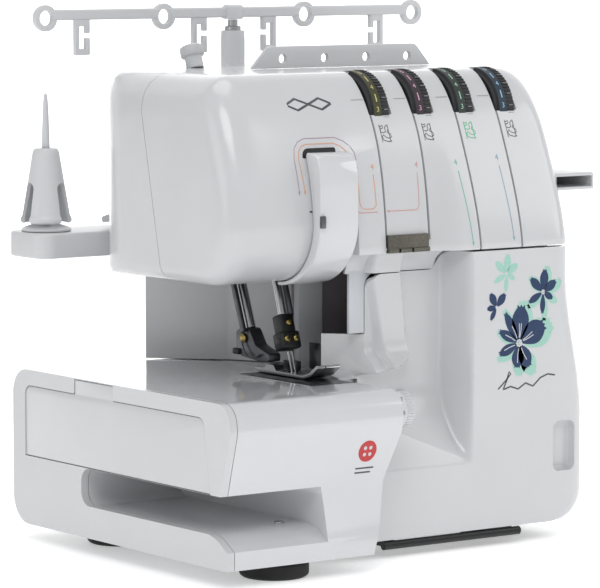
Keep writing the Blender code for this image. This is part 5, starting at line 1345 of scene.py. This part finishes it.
floorTone = moulded("paleFloor", "#f6f6f6", "#fafafa", 400.0, 9.0, 0.05, (0.6, 0.7))
studio = dict(floor=12.0, wall=8.0, wallPlace=(3.2, 4.6, 0), turn=math.radians(-35.7), floorGlow=0.4,
              air=0.46)
floorShader = floorTone.node_tree.nodes["Principled BSDF"]
floorShader.inputs["Emission Color"].default_value = linear("#ffffff")
floorShader.inputs["Emission Strength"].default_value = studio["floorGlow"]
bpy.ops.mesh.primitive_plane_add(size=studio["floor"], location=(0, 0, 0))
floor = bpy.context.object
floor.name = "floor"
floor.data.materials.append(floorTone)
wallMesh = bpy.data.meshes.new("backdrop")
backdrop = bpy.data.objects.new("backdrop", wallMesh)
wall = bmesh.new()
bmesh.ops.create_grid(wall, x_segments=1, y_segments=1, size=studio["wall"])
wall.transform(Matrix.Translation(studio["wallPlace"]) @ Matrix.Rotation(studio["turn"], 4, "Z")
               @ Matrix.Rotation(math.pi / 2, 4, "X"))
wall.to_mesh(wallMesh)
bpy.context.scene.collection.objects.link(backdrop)
backdrop.data.materials.append(floorTone)

lights = dict(
    # place, width and watts
    key=((-1.15, -1.5, 1.75), 1.2, 14.5), fill=((1.7, -1.1, 1.0), 1.3, 8.0),
    left=((-1.9, -0.1, 0.7), 1.1, 2.6),
    above=((0.1, 0.1, 2.0), 1.6, 12.0), back=((1.3, 2.6, 1.7), 2.4, 65.0),
)
for name, (place, size, power) in lights.items():
    lamp = bpy.data.lights.new(name, "AREA")
    lamp.shape = "DISK"
    lamp.size = size
    lamp.energy = power
    holder = bpy.data.objects.new(name, lamp)
    bpy.context.scene.collection.objects.link(holder)
    holder.location = place
    target = Vector((0, 0, 0.17)) if name != "back" else Vector((2.6, 4.0, 0.6))
    holder.rotation_euler = (target - Vector(place)).to_track_quat("-Z", "Y").to_euler()
world = bpy.data.worlds.new("studio")
bpy.context.scene.world = world
world.use_nodes = True
sky = world.node_tree.nodes["Background"]
sky.inputs["Color"].default_value = linear("#f2f3f5")
sky.inputs["Strength"].default_value = studio["air"]

camera = bpy.data.objects.new("camera", bpy.data.cameras.new("camera"))
bpy.context.scene.collection.objects.link(camera)
camera.location = (-1.40676, -1.92810, 0.38797)
camera.rotation_euler = (math.radians(84.4), 0, studio["turn"])
camera.data.sensor_width = 36.0
camera.data.lens = 225.6
camera.data.clip_end = 60.0
bpy.context.scene.camera = camera
bpy.context.scene.view_settings.view_transform = "Standard"
